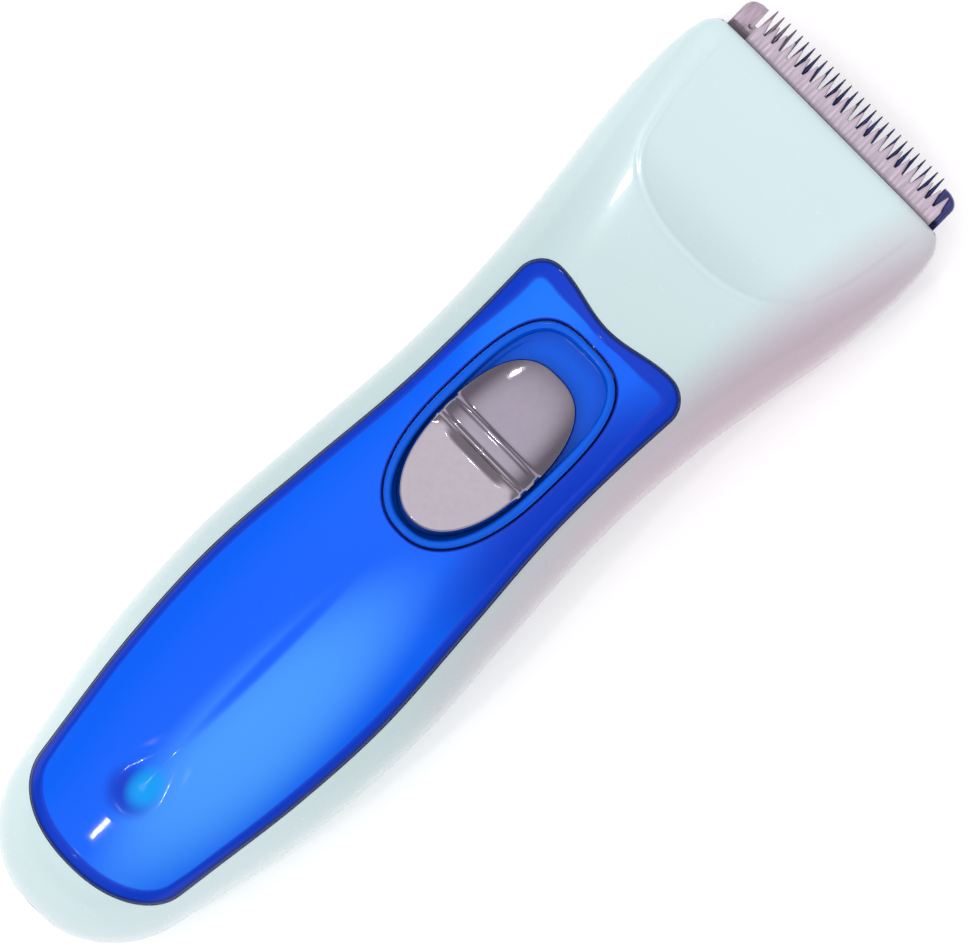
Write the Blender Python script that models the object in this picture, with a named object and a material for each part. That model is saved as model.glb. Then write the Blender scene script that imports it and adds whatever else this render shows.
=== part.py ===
"""A cordless hair clipper, lying on its back: +Y runs from the tail to the blade, +Z is the switch side.

Every piece that comes apart on a bench is its own object. Sizes are written in millimetres and turned into
metres by MM. The origin is under the middle of the body, on the surface that it lies on.
"""

import math

import bmesh
import bpy
from mathutils import Matrix, Vector

MM = 0.001

# Driving dimensions of the housing.
TAIL_Y = -85.0
MOUTH_Y = 78.6
TAIL_ROUND = 14.0
TAIL_ROUND_POWER = 2.2
WALL = 2.4
GAP = 0.3
PARTING_END_Y = 54.6
HEAD_FLOOR_Z = 9.0
PARTING_TAIL_LIFT = 3.0
PARTING_TAIL_FADE = 24.0

# Housing sections: y, half width, height of the widest line, top, bottom.
SECTIONS = (
    (-85.0, 14.2, 12.5, 26.5, -0.7),
    (-70.0, 16.9, 13.3, 30.4, -0.7),
    (-50.0, 20.9, 15.0, 34.3, -0.7),
    (-28.0, 22.4, 17.0, 36.3, 0.8),
    (-8.0, 21.2, 18.6, 36.6, 3.0),
    (12.0, 20.0, 19.0, 35.8, 3.2),
    (30.0, 20.7, 17.6, 33.8, -0.2),
    (44.0, 22.5, 14.8, 30.9, -0.4),
    (56.0, 24.3, 12.6, 26.8, 3.5),
    (66.0, 25.1, 12.4, 22.3, 6.8),
    (73.0, 24.9, 12.8, 18.9, 9.1),
    (76.6, 24.1, 13.2, 17.2, 10.3),
    (78.6, 22.6, 13.4, 16.2, 11.0),
)
# Squareness of the upper and lower half of a section: y, power above, power below.
SECTION_POWERS = ((-85.0, 2.3, 2.4), (20.0, 2.3, 2.4), (44.0, 2.5, 3.5), (60.0, 2.9, 8.0), (78.6, 3.4, 9.0))

# Flat facet on the head: y, half width at its border. Its tail end is rounded.
FACET_TAIL_Y = 49.8
FACET_ROUND = 9.0
FACET_WIDTHS = ((49.8, 15.6), (56.0, 16.6), (65.4, 19.0), (78.6, 20.6))

# Blue panel on the switch side: y, half width. Its tail end is rounded like the housing's.
PANEL_TAIL_Y = -75.3
PANEL_HEAD_Y = 35.3
PANEL_NOTCH = 1.7
PANEL_CORNER = 4.0
PANEL_TAIL_ROUND = 8.0
PANEL_WIDTHS = (
    (-75.3, 13.2),
    (-62.0, 15.0),
    (-46.0, 17.0),
    (-29.0, 17.8),
    (-10.0, 16.5),
    (6.0, 15.2),
    (20.0, 15.0),
    (35.3, 15.5),
)
POCKET_DEPTH = 1.3
PANEL_PROUD = 0.3

# Ovals of the slide switch: half width, tail end, head end, power at the tail end, power at the head end.
SEAT_OVAL = (10.3, -7.6, 30.2, 2.3, 3.2)
TRACK_OVAL = (9.05, -6.5, 29.1, 2.35, 3.4)
BUTTON_OVAL = (8.7, -6.1, 24.1, 2.1, 2.6)
SWITCH_TRAVEL = 4.6
SEAT_DEPTH = 3.2
SEAT_PROUD = 0.6
TRACK_DEPTH = 2.2
BUTTON_CLEARANCE = 0.5
BUTTON_PROUD = 1.9
STEM_Y = 9.0

# Blade set, in a frame of its own at the middle of the mouth, tilted so that the tips point up.
BLADE_TILT = math.radians(18.0)
BLADE_ORIGIN = Vector((0.0, MOUTH_Y, 12.3))
CUTTER_THROW = 1.4
COMB_TEETH = 28
COMB_PITCH = 1.28
CUTTER_TEETH = 24
CUTTER_PITCH = 1.6
COMB_HALF_WIDTH = 21.5
CUTTER_HALF_WIDTH = 19.15
COMB_THICKNESS = 1.3
COMB_SCREW = (18.3, -10.0)
PIVOT_LOCAL = (-22.6, 0.6)
PIVOT_RADIUS = 1.9
FORK_TOP = 11.4

# Motor and drive.
MOTOR_Z = 16.5
MOTOR_RADIUS = 10.0
MOTOR_FLAT = 7.8
MOTOR_REAR_Y = 20.0
MOTOR_FRONT_Y = 46.0
SHAFT_RADIUS = 1.0
CRANK_PIN_RADIUS = 1.0
TERMINAL_X = 6.0

# Power.
CELL_RADIUS = 7.1
CELL_LENGTH = 48.0
CELL_REAR_Y = -64.0
CELL_X = 7.5
CELL_Z = 12.9
BOARD_Z = 24.0
BOARD_THICKNESS = 1.6
LED_Y = -60.0
SOCKET_Z = 12.9
SCREW_POSTS = ((9.6, -71.0), (13.2, 13.5))
SCREW_RECESS = 2.2
POST_RADIUS = 3.0
SCREW_RADIUS = 1.0
SCREW_HEAD_RADIUS = 2.0
BOARD_SCREWS = ((-7.0, -40.0), (7.0, -40.0))

RING_POINTS = 36
MATERIALS = {}


def clear_scene():
    for obj in list(bpy.data.objects):
        bpy.data.objects.remove(obj, do_unlink=True)


def material(name, colour, roughness, metallic=0.0):
    """One Principled material for each finish, made once."""
    if name not in MATERIALS:
        made = bpy.data.materials.new(name)
        made.use_nodes = True
        shader = made.node_tree.nodes["Principled BSDF"]
        shader.inputs["Base Color"].default_value = (*colour, 1.0)
        shader.inputs["Roughness"].default_value = roughness
        shader.inputs["Metallic"].default_value = metallic
        MATERIALS[name] = made
    return MATERIALS[name]


def pearl_plastic():
    return material("pearl_plastic", (0.80, 0.90, 0.88), 0.22)


def blue_plastic():
    return material("blue_plastic", (0.02, 0.17, 0.90), 0.12)


def chrome():
    return material("chrome", (0.78, 0.74, 0.76), 0.08, 1.0)


def steel():
    return material("steel", (0.70, 0.66, 0.69), 0.25, 1.0)


def dark_plastic():
    return material("dark_plastic", (0.03, 0.03, 0.035), 0.45)


def white_plastic():
    return material("white_plastic", (0.82, 0.83, 0.82), 0.4)


# ---------------------------------------------------------------- curves and surfaces


def smooth_value(points, y, column):
    """Reads a column of a table of sections at y, on a smooth curve through its points."""
    y = min(max(y, points[0][0]), points[-1][0])
    last = len(points) - 1
    i = next(k for k in range(last) if y <= points[k + 1][0])

    def slope(k):
        low, high = max(k - 1, 0), min(k + 1, last)
        return (points[high][column] - points[low][column]) / (points[high][0] - points[low][0])

    span = points[i + 1][0] - points[i][0]
    t = (y - points[i][0]) / span
    start, end = points[i][column], points[i + 1][column]
    return (
        start * (1 + 2 * t) * (1 - t) ** 2
        + slope(i) * span * t * (1 - t) ** 2
        + end * t * t * (3 - 2 * t)
        + slope(i + 1) * span * t * t * (t - 1)
    )


def end_rounding(y, end_y, length, power=TAIL_ROUND_POWER):
    """Share of the full section that is left near a rounded end: 0 at the end, 1 from length onwards."""
    away = (y - end_y) / length
    if away >= 1.0:
        return 1.0
    return max(0.0, 1.0 - (1.0 - max(away, 0.0)) ** power) ** (1.0 / power)


def section(y, inset=0.0):
    """(half width, widest height, top, bottom, power above, power below) of the housing at y."""
    share = end_rounding(y, TAIL_Y + inset, TAIL_ROUND - inset / 2)
    side = smooth_value(SECTIONS, y, 2)
    top = smooth_value(SECTIONS, y, 3) - inset
    bottom = smooth_value(SECTIONS, y, 4) + inset
    return (
        (smooth_value(SECTIONS, y, 1) - inset) * share,
        side,
        side + (top - side) * share,
        side + (bottom - side) * share,
        smooth_value(SECTION_POWERS, y, 1),
        smooth_value(SECTION_POWERS, y, 2),
    )


def top_height(x, y):
    """Height of the housing's upper surface over the point x, y."""
    width, side, top, _, power, _ = section(y)
    reach = min(abs(x) / width, 0.999) if width > 0 else 0.999
    return side + (top - side) * (1.0 - reach**power) ** (1.0 / power)


def bottom_height(x, y):
    """Height of the housing's lower surface under the point x, y."""
    width, side, _, bottom, _, power = section(y)
    reach = min(abs(x) / width, 0.999)
    return max(0.0, side - (side - bottom) * (1.0 - reach**power) ** (1.0 / power))


def facet_height(y):
    """Height of the head's flat facet, which meets the rounded body along a U-shaped edge."""
    width = smooth_value(FACET_WIDTHS, y, 1) * end_rounding(y, FACET_TAIL_Y, FACET_ROUND)
    return top_height(width, y)


def parting_height(y):
    """Height of the line where the two shells meet: the widest line, but higher round the tail."""
    share = min(max((y - TAIL_Y) / PARTING_TAIL_FADE, 0.0), 1.0)
    return smooth_value(SECTIONS, y, 2) + PARTING_TAIL_LIFT * (1 - share) ** 2


def section_ring(y, inset, count):
    """Points round one section, starting at +X, flat where it lies on the surface under it."""
    width, side, top, bottom, above, below = section(y, inset)
    ring = []
    for k in range(count):
        angle = 2 * math.pi * k / count
        c, s = math.cos(angle), math.sin(angle)
        power = above if s >= 0 else below
        height = (top - side) if s >= 0 else (side - bottom)
        x = math.copysign(abs(c) ** (2 / power), c) * width
        z = side + math.copysign(abs(s) ** (2 / power), s) * height
        ring.append((x, y, max(z, inset)))
    return ring


def section_places(start, end, round_length, round_steps, straight_steps):
    """Y of each section: close together in the rounded end, evenly spaced after it."""
    places = [start + 0.05]
    for k in range(1, round_steps + 1):
        places.append(start + round_length * (1 - math.cos(math.pi / 2 * k / round_steps)))
    rest = end - places[-1]
    straight = [places[-1] + rest * k / straight_steps for k in range(1, straight_steps + 1)]
    return places + straight


# ---------------------------------------------------------------- mesh helpers


def make_object(name, mesh_data, finish, smooth=True):
    mesh_data.materials.append(finish)
    if smooth:
        mesh_data.shade_smooth()
        mesh_data.set_sharp_from_angle(angle=math.radians(35))
    obj = bpy.data.objects.new(name, mesh_data)
    bpy.context.scene.collection.objects.link(obj)
    return obj


def from_bmesh(name, bm, finish, smooth=True):
    """Ends a bmesh that is in millimetres, with its faces pointing out."""
    bmesh.ops.recalc_face_normals(bm, faces=bm.faces)
    bmesh.ops.scale(bm, vec=(MM, MM, MM), verts=bm.verts)
    data = bpy.data.meshes.new(name)
    bm.to_mesh(data)
    bm.free()
    return make_object(name, data, finish, smooth)


def loft(rings):
    """A closed bmesh through rings of equal point counts, with flat ends."""
    bm = bmesh.new()
    made = [[bm.verts.new(p) for p in ring] for ring in rings]
    count = len(rings[0])
    for low, high in zip(made, made[1:]):
        for k in range(count):
            n = (k + 1) % count
            bm.faces.new((low[k], low[n], high[n], high[k]))
    bm.faces.new(made[0])
    bm.faces.new(reversed(made[-1]))
    return bm


def prism(points, axis, low, high):
    """A bmesh of an outline swept along an axis.

    An X prism's points are (y, z), a Y prism's (x, z) and a Z prism's (x, y).
    """

    def place(p, h):
        return {"X": (h, p[0], p[1]), "Y": (p[0], h, p[1]), "Z": (p[0], p[1], h)}[axis]

    return loft([[place(p, low) for p in points], [place(p, high) for p in points]])


def box(low, high):
    corners = ((low[0], low[1]), (high[0], low[1]), (high[0], high[1]), (low[0], high[1]))
    return prism(corners, "Z", low[2], high[2])


def circle(centre, radius, sides):
    return [
        (
            centre[0] + radius * math.cos(2 * math.pi * k / sides),
            centre[1] + radius * math.sin(2 * math.pi * k / sides),
        )
        for k in range(sides)
    ]


def cylinder(axis, centre, radius, low, high, sides=24):
    return prism(circle(centre, radius, sides), axis, low, high)


def turned(profile, axis_point, axis, sides=24):
    """A turned piece: profile is (distance along the axis, radius) from one end to the other."""

    def ring(along, radius):
        points = circle(axis_point, radius, sides)
        return [{"Y": (u, along, v), "Z": (u, v, along)}[axis] for u, v in points]

    return loft([ring(*step) for step in profile])


def surface_patch(outline, low, high, rings=5):
    """A slab that follows the housing's upper surface: low and high are its offsets from that surface.

    The outline shrinks towards its middle in even steps, so both faces are rings of four-sided faces.
    """
    middle = (0.0, (min(p[1] for p in outline) + max(p[1] for p in outline)) / 2)
    bm = bmesh.new()
    layers = []
    for offset in (high, low):
        steps = []
        for k in range(rings, 0, -1):
            share = k / rings
            points = [(x * share, middle[1] + (y - middle[1]) * share) for x, y in outline]
            steps.append([bm.verts.new((x, y, top_height(x, y) + offset)) for x, y in points])
        hub = bm.verts.new((*middle, top_height(*middle) + offset))
        layers.append((steps, hub))
    count = len(outline)
    for steps, hub in layers:
        for outer, inner in zip(steps, steps[1:]):
            for k in range(count):
                n = (k + 1) % count
                bm.faces.new((outer[k], outer[n], inner[n], inner[k]))
        for k in range(count):
            bm.faces.new((steps[-1][k], steps[-1][(k + 1) % count], hub))
    rim_high, rim_low = layers[0][0][0], layers[1][0][0]
    for k in range(count):
        n = (k + 1) % count
        bm.faces.new((rim_high[k], rim_low[k], rim_low[n], rim_high[n]))
    return bm


def offset_outline(outline, distance):
    """An outline moved outwards by distance along its normals. It runs anticlockwise."""
    moved = []
    count = len(outline)
    for k in range(count):
        before, after = outline[k - 1], outline[(k + 1) % count]
        dx, dy = after[0] - before[0], after[1] - before[1]
        length = math.hypot(dx, dy)
        moved.append((outline[k][0] + distance * dy / length, outline[k][1] - distance * dx / length))
    return moved


def boolean(obj, bm, operation, solver="EXACT"):
    """Cuts a millimetre bmesh from obj, or joins or keeps it, as a modifier on a hidden helper."""
    names = {"DIFFERENCE": "cutter", "UNION": "addition", "INTERSECT": "keeper"}
    name = f"{obj.name}_{names[operation]}_{len(obj.modifiers)}"
    helper = from_bmesh(name, bm, white_plastic(), smooth=False)
    helper.hide_render = True
    helper.display_type = "WIRE"
    if obj.parent:
        helper.parent = obj.parent
    step = obj.modifiers.new(names[operation], "BOOLEAN")
    step.operation = operation
    step.solver = solver
    step.object = helper
    return obj


def cut(obj, *shapes):
    for shape in shapes:
        boolean(obj, shape, "DIFFERENCE")
    return obj


def join(obj, *shapes):
    for shape in shapes:
        boolean(obj, shape, "UNION")
    return obj


def empty(name, place, turn_x=0.0):
    """A frame that pieces hang from, in world millimetres."""
    made = bpy.data.objects.new(name, None)
    made.matrix_world = Matrix.Translation(Vector(place) * MM) @ Matrix.Rotation(turn_x, 4, "X")
    bpy.context.scene.collection.objects.link(made)
    return made


def tube(name, points, radius, finish):
    """A round lead on a smooth path through points."""
    curve = bpy.data.curves.new(name, "CURVE")
    curve.dimensions = "3D"
    curve.bevel_depth = radius * MM
    curve.bevel_resolution = 1
    curve.use_fill_caps = True
    curve.resolution_u = 3
    spline = curve.splines.new("BEZIER")
    spline.bezier_points.add(len(points) - 1)
    for target, p in zip(spline.bezier_points, points):
        target.co = Vector(p) * MM
        target.handle_left_type = "AUTO"
        target.handle_right_type = "AUTO"
    curve.materials.append(finish)
    obj = bpy.data.objects.new(name, curve)
    bpy.context.scene.collection.objects.link(obj)
    return obj


# ---------------------------------------------------------------- outlines


def oval(shape, points=28):
    """An oval in the plane of the panel, whose two ends may differ in squareness."""
    half_width, tail, head, tail_power, head_power = shape
    middle, half_length = (tail + head) / 2, (head - tail) / 2
    outline = []
    for k in range(points):
        angle = 2 * math.pi * k / points
        c, s = math.cos(angle), math.sin(angle)
        power = head_power if s >= 0 else tail_power
        outline.append(
            (
                math.copysign(abs(c) ** (2 / power), c) * half_width,
                middle + math.copysign(abs(s) ** (2 / power), s) * half_length,
            )
        )
    return outline


def panel_outline():
    """The blue panel: a rounded tail end, waisted sides, and a head end with a shallow hollow in it."""
    side_end = PANEL_HEAD_Y - PANEL_CORNER
    steps = section_places(PANEL_TAIL_Y, side_end, PANEL_TAIL_ROUND, 7, 15)[1:]
    right = []
    for y in steps:
        share = end_rounding(y, PANEL_TAIL_Y, PANEL_TAIL_ROUND)
        right.append((smooth_value(PANEL_WIDTHS, y, 1) * share, y))
    corner_x = right[-1][0] - PANEL_CORNER
    for degrees in (25, 50, 75):
        angle = math.radians(degrees)
        right.append(
            (corner_x + PANEL_CORNER * math.cos(angle), side_end + PANEL_CORNER * math.sin(angle))
        )
    for k in range(5):
        x = corner_x * (1 - k / 5)
        hollow = (1 + math.cos(math.pi * x / corner_x)) / 2
        right.append((x, PANEL_HEAD_Y - PANEL_NOTCH * hollow))
    left = [(-x, y) for x, y in reversed(right)]
    return [(0.0, PANEL_TAIL_Y), *right, (0.0, PANEL_HEAD_Y - PANEL_NOTCH), *left]


# ---------------------------------------------------------------- housing


def inside_ring(y):
    """One section of the room inside the housing. In the head it is flat under the facet and open below."""
    roof = facet_height(y) - WALL
    ring = [(x, y, min(z, roof)) for x, _, z in section_ring(y, WALL, RING_POINTS)]
    if y > PARTING_END_Y:
        side = smooth_value(SECTIONS, y, 2)
        ring = [(x, y, min(z, HEAD_FLOOR_Z) if z < side - 0.5 else z) for x, y, z in ring]
    return ring


def housing_wall(name):
    """The whole housing wall: the outer body less its inside."""
    outer = section_places(TAIL_Y, MOUTH_Y, TAIL_ROUND, 6, 20)
    obj = from_bmesh(name, loft([section_ring(y, 0.0, RING_POINTS) for y in outer]), pearl_plastic())
    inner = section_places(TAIL_Y + WALL, MOUTH_Y - 4, TAIL_ROUND - WALL / 2, 5, 16)
    return cut(obj, loft([inside_ring(y) for y in inner]))


def facet_cutter():
    """What the facet takes off the head, swept straight across it."""
    places = (50.0, 50.8, 52.0, 53.6, 56.0, 60.0, 65.0, 70.0, 74.5, MOUTH_Y)
    edge = [(y, facet_height(y)) for y in places]
    lead_in = (FACET_TAIL_Y - 1.2, facet_height(FACET_TAIL_Y - 1.2) + 1.0)
    return prism([lead_in, *edge, (MOUTH_Y + 3, edge[-1][1] - 1.0), (MOUTH_Y + 3, 50)], "X", -32, 32)


def parting_profile(lift):
    """(y, z) along the line where the two shells meet, from behind the tail to the blade opening."""
    steps = 16
    start = TAIL_Y - 5
    return [
        (y, parting_height(y) + lift)
        for y in (start + (PARTING_END_Y - start) * k / steps for k in range(steps + 1))
    ]


def blade_opening():
    """The way in for the blade set, through the underside of the head and out at the mouth."""
    side = COMB_HALF_WIDTH + 0.4
    rear, front = blade_to_world(-12.0, 1.75), blade_to_world(6.0, 1.75)
    profile = [(PARTING_END_Y - 1, -5), (MOUTH_Y + 6, -5), front, rear, (PARTING_END_Y - 1, rear[1])]
    return prism(profile, "X", -side, side)


def rear_post(x, y, top):
    """A screw post whose foot follows the curve of the rear shell, inside its wall."""
    rim = circle((x, y), POST_RADIUS, 12)
    foot = [(px, py, bottom_height(px, py) + WALL / 2) for px, py in rim]
    return loft([foot, [(px, py, top) for px, py in rim]])


def screw_seat(x, y):
    """Height of the step that a housing screw's head pulls on."""
    return bottom_height(abs(x) + POST_RADIUS, y) + SCREW_RECESS


def front_shell():
    shell = housing_wall("front_shell")
    above = [*parting_profile(0.0), (PARTING_END_Y, -10), (100, -10), (100, 60), (TAIL_Y - 5, 60)]
    boolean(shell, prism(above, "X", -40, 40), "INTERSECT")
    panel = panel_outline()
    cut(shell, facet_cutter())
    boolean(shell, blade_opening(), "DIFFERENCE", "MANIFOLD")
    cut(shell, surface_patch(offset_outline(panel, GAP), -POCKET_DEPTH, 8.0))
    cut(shell, prism(offset_outline(oval(SEAT_OVAL), GAP), "Z", 25, 45))
    for x, y in SCREW_POSTS:
        for side in (-1, 1):
            parting = parting_height(y)
            roof = top_height(x + POST_RADIUS, y) - 1.7
            join(shell, cylinder("Z", (side * x, y), POST_RADIUS, parting + 0.2, roof, 12))
            cut(shell, cylinder("Z", (side * x, y), SCREW_RADIUS + GAP, parting - 1, parting + 7.5, 10))
    board_top = BOARD_Z + BOARD_THICKNESS
    for x, y in BOARD_SCREWS:
        join(shell, cylinder("Z", (x, y), 2.2, board_top + GAP, top_height(x, y) - 1.8, 10))
        cut(shell, cylinder("Z", (x, y), 1.1, board_top - 1, board_top + 4.5, 10))
    cut(shell, cylinder("Z", (0.0, LED_Y), 2.6, 24, 34, 16))
    cut(shell, cylinder("Y", (0.0, SOCKET_Z), 4.3, TAIL_Y - 5, TAIL_Y + 8, 20))
    pivot = blade_to_world(*PIVOT_LOCAL)
    for side in (-1, 1):
        low, high = sorted((side * (COMB_HALF_WIDTH - 1), side * (COMB_HALF_WIDTH + 1.7)))
        cut(shell, cylinder("X", pivot, 1.35, low, high, 14))
    return shell


def rear_shell():
    shell = housing_wall("rear_shell")
    below = [*parting_profile(-GAP), (PARTING_END_Y - GAP, -10), (TAIL_Y - 5, -10)]
    below = [(min(y, PARTING_END_Y - GAP), z) for y, z in below]
    boolean(shell, prism(below, "X", -40, 40), "INTERSECT")
    for x, y in SCREW_POSTS:
        for side in (-x, x):
            parting = parting_height(y)
            join(shell, rear_post(side, y, parting - 0.6))
            cut(shell, cylinder("Z", (side, y), SCREW_RADIUS + GAP, -2, parting + 2, 10))
            cut(shell, cylinder("Z", (side, y), SCREW_HEAD_RADIUS + GAP, -2, screw_seat(side, y), 12))
    cut(shell, cylinder("Y", (0.0, SOCKET_Z), 4.3, TAIL_Y - 5, TAIL_Y + 8, 20))
    return shell


def screw_profile(seat, tip, head_radius, radius):
    """A screw that stands up from its head, whose upper face is at seat."""
    head = 1.7
    under_head = [(seat - head, head_radius), (seat, head_radius)]
    return [*under_head, (seat + 0.05, radius), (tip, radius), (tip + 0.8, 0.2)]


def housing_screws():
    number = 0
    for x, y in SCREW_POSTS:
        for side in (-x, x):
            number += 1
            tip = parting_height(y) + 5.5
            seat = screw_seat(side, y) - GAP
            profile = screw_profile(seat, tip, SCREW_HEAD_RADIUS, SCREW_RADIUS)
            screw = from_bmesh(f"housing_screw_{number}", turned(profile, (side, y), "Z", 10), steel())
            cut(screw, box((side - 1.4, y - 0.25, seat - 3), (side + 1.4, y + 0.25, seat - 1.1)))


def blue_panel():
    outline = panel_outline()
    slab = surface_patch(outline, -POCKET_DEPTH + GAP, PANEL_PROUD)
    panel = from_bmesh("blue_panel", slab, blue_plastic())
    return cut(panel, prism(offset_outline(oval(SEAT_OVAL), GAP), "Z", 25, 45))


def switch_seat():
    """The tub that the slide button runs in: a raised oval rim, a sunk floor and a slot for the stem."""
    tub = surface_patch(oval(SEAT_OVAL), -SEAT_DEPTH, SEAT_PROUD, rings=3)
    seat = from_bmesh("switch_seat", tub, blue_plastic())
    cut(seat, surface_patch(oval(TRACK_OVAL), -TRACK_DEPTH, 4.0, rings=3))
    return cut(seat, box((-3.1, STEM_Y - 3.5, 25), (3.1, STEM_Y + 3.5 + SWITCH_TRAVEL, 40)))


def button_height(x, y):
    """Height of the button over its track: a low dome, a cross rib in the middle and a scoop behind it."""
    half_width, tail, head = BUTTON_OVAL[:3]
    middle, half_length = (tail + head) / 2, (head - tail) / 2
    edge = min(1.0, math.hypot(x / half_width, (y - middle) / half_length))
    dome = TRACK_DEPTH + 0.2 + BUTTON_PROUD * (1 - edge**4)
    rib = 0.9 * math.exp(-(((y - middle - 1.2) / 1.3) ** 2))
    scoop = 0.7 * math.exp(-(((y - middle + 7) / 4.5) ** 2) - (x / 6.5) ** 2)
    return dome + (rib - scoop) * (1 - edge**6)


def switch_button():
    """The chromed slide button."""
    outline = oval(BUTTON_OVAL, 30)
    bm = surface_patch(outline, BUTTON_CLEARANCE - TRACK_DEPTH, 1.0, rings=4)
    top = [v for v in bm.verts if v.co.z - top_height(v.co.x, v.co.y) > 0]
    for v in top:
        v.co.z = top_height(v.co.x, v.co.y) - TRACK_DEPTH + button_height(v.co.x, v.co.y)
    return from_bmesh("switch_button", bm, chrome())


def button_stem():
    """Takes the button's travel to the board's slide switch: a post with a prong on each side of the knob."""
    roof = top_height(0, STEM_Y) + BUTTON_CLEARANCE - TRACK_DEPTH - 2 * GAP
    knob_top = BOARD_Z + BOARD_THICKNESS + 4.6
    post = box((-2.6, STEM_Y - 2.8, knob_top + 0.4), (2.6, STEM_Y + 2.8, roof))
    stem = from_bmesh("button_stem", post, dark_plastic(), False)
    for low in (STEM_Y - 2.8, STEM_Y + 1.4):
        join(stem, box((-2.2, low, knob_top - 0.9), (2.2, low + 1.4, knob_top + 1)))
    return stem


# ---------------------------------------------------------------- blade set


def blade_to_world(along, up):
    """(y, z) in world millimetres of a point in the blade set's frame."""
    c, s = math.cos(BLADE_TILT), math.sin(BLADE_TILT)
    return (BLADE_ORIGIN.y + along * c - up * s, BLADE_ORIGIN.z + along * s + up * c)


def toothed_plate(tooth_xs, sides, root_half, tip_half, ys, heights):
    """A plate with pointed teeth along its front edge, as one closed mesh.

    sides is (left, right). ys is (back, root, tip). heights is (bottom, top, tip bottom, tip top).
    """
    back, root, tip = ys
    bottom, top, tip_bottom, tip_top = heights
    columns = [sides[0], *(x + d * root_half for x in tooth_xs for d in (-1, 1)), sides[1]]
    bm = bmesh.new()
    loop = ((back, top), (root, top), (root, bottom), (back, bottom))
    corners = [[bm.verts.new((x, y, z)) for x in columns] for y, z in loop]
    last = len(columns) - 1
    for k in range(last):
        for near, far in ((0, 1), (2, 3), (3, 0)):
            bm.faces.new((corners[near][k], corners[near][k + 1], corners[far][k + 1], corners[far][k]))
        if k % 2 == 0:
            bm.faces.new((corners[1][k], corners[1][k + 1], corners[2][k + 1], corners[2][k]))
    for end in (0, last):
        bm.faces.new([row[end] for row in corners])
    for t, x in enumerate(tooth_xs):
        left, right = 1 + 2 * t, 2 + 2 * t
        tips = [bm.verts.new((x + d * tip_half, tip, z)) for d in (-1, 1) for z in (tip_top, tip_bottom)]
        bm.faces.new((corners[1][left], corners[1][right], tips[2], tips[0]))
        bm.faces.new((corners[2][left], corners[2][right], tips[3], tips[1]))
        bm.faces.new((tips[0], tips[2], tips[3], tips[1]))
        bm.faces.new((corners[1][left], tips[0], tips[1], corners[2][left]))
        bm.faces.new((corners[1][right], tips[2], tips[3], corners[2][right]))
    return bm


def tooth_row(count, pitch):
    return [(k - (count - 1) / 2) * pitch for k in range(count)]


def comb_blade(frame):
    """The fixed blade, whose flat underside glides on the skin, with a rounded guard at each end."""
    bm = toothed_plate(
        tooth_row(COMB_TEETH, COMB_PITCH),
        (-COMB_HALF_WIDTH, COMB_HALF_WIDTH),
        0.42,
        0.08,
        (-15.8, 2.5, 6.7),
        (-COMB_THICKNESS, 0.0, -0.75, -0.15),
    )
    comb = from_bmesh("comb_blade", bm, steel(), smooth=False)
    comb.parent = frame
    corner = 2.4
    inner, outer, front = 18.4, COMB_HALF_WIDTH - 0.02, 6.65
    for side in (-1, 1):
        guard = [(inner, 1.5), (outer, 1.5)]
        centre = (outer - corner, front - corner)
        for k in range(6):
            angle = math.pi / 2 * k / 5
            guard.append((centre[0] + corner * math.cos(angle), centre[1] + corner * math.sin(angle)))
        guard.append((inner, front))
        points = [(side * x, y) for x, y in guard]
        join(comb, prism(points, "Z", -1.15, -0.06))
        cut(comb, cylinder("Z", (side * COMB_SCREW[0], COMB_SCREW[1]), 1.4, -4, 2, 14))
    return comb


def cutter_blade(frame):
    """The moving blade, at the end of its stroke: a toothed strip with a narrower tab behind it."""
    bm = toothed_plate(
        [x + CUTTER_THROW for x in tooth_row(CUTTER_TEETH, CUTTER_PITCH)],
        (CUTTER_THROW - CUTTER_HALF_WIDTH, CUTTER_THROW + CUTTER_HALF_WIDTH),
        0.62,
        0.1,
        (-3.2, 2.9, 5.3),
        (0.3, 1.2, 0.3, 0.6),
    )
    cutter = from_bmesh("cutter_blade", bm, steel(), smooth=False)
    cutter.parent = frame
    join(cutter, box((CUTTER_THROW - 12, -9.5, 0.35), (CUTTER_THROW + 12, -2.9, 1.1)))
    for side in (-1, 1):
        x = CUTTER_THROW + side * 7.0
        cut(cutter, cylinder("Z", (x, -7.0), 1.0, -1, 2, 12))
    return cutter


def cutter_carrier(frame):
    """The plastic slide on the cutter, with a fork that stands up to the crank pin."""
    low, high = CUTTER_THROW - 9.0, CUTTER_THROW + 9.0
    slide = box((low, -16.4, 1.4), (high, -4.6, 3.0))
    carrier = from_bmesh("cutter_carrier", slide, white_plastic(), False)
    carrier.parent = frame
    slot = CRANK_PIN_RADIUS + 0.45
    for side in (-1, 1):
        inner, outer = sorted((CUTTER_THROW + side * slot, CUTTER_THROW + side * (slot + 1.8)))
        join(carrier, box((inner, -16.3, 2.0), (outer, -13.4, FORK_TOP)))
        x = CUTTER_THROW + side * 7.0
        join(carrier, cylinder("Z", (x, -7.0), 0.7, 0.4, 2.0, 10))
    join(carrier, box((CUTTER_THROW - slot - 1.7, -16.2, 2.0), (CUTTER_THROW + slot + 1.7, -13.5, 4.4)))
    return carrier


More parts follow.
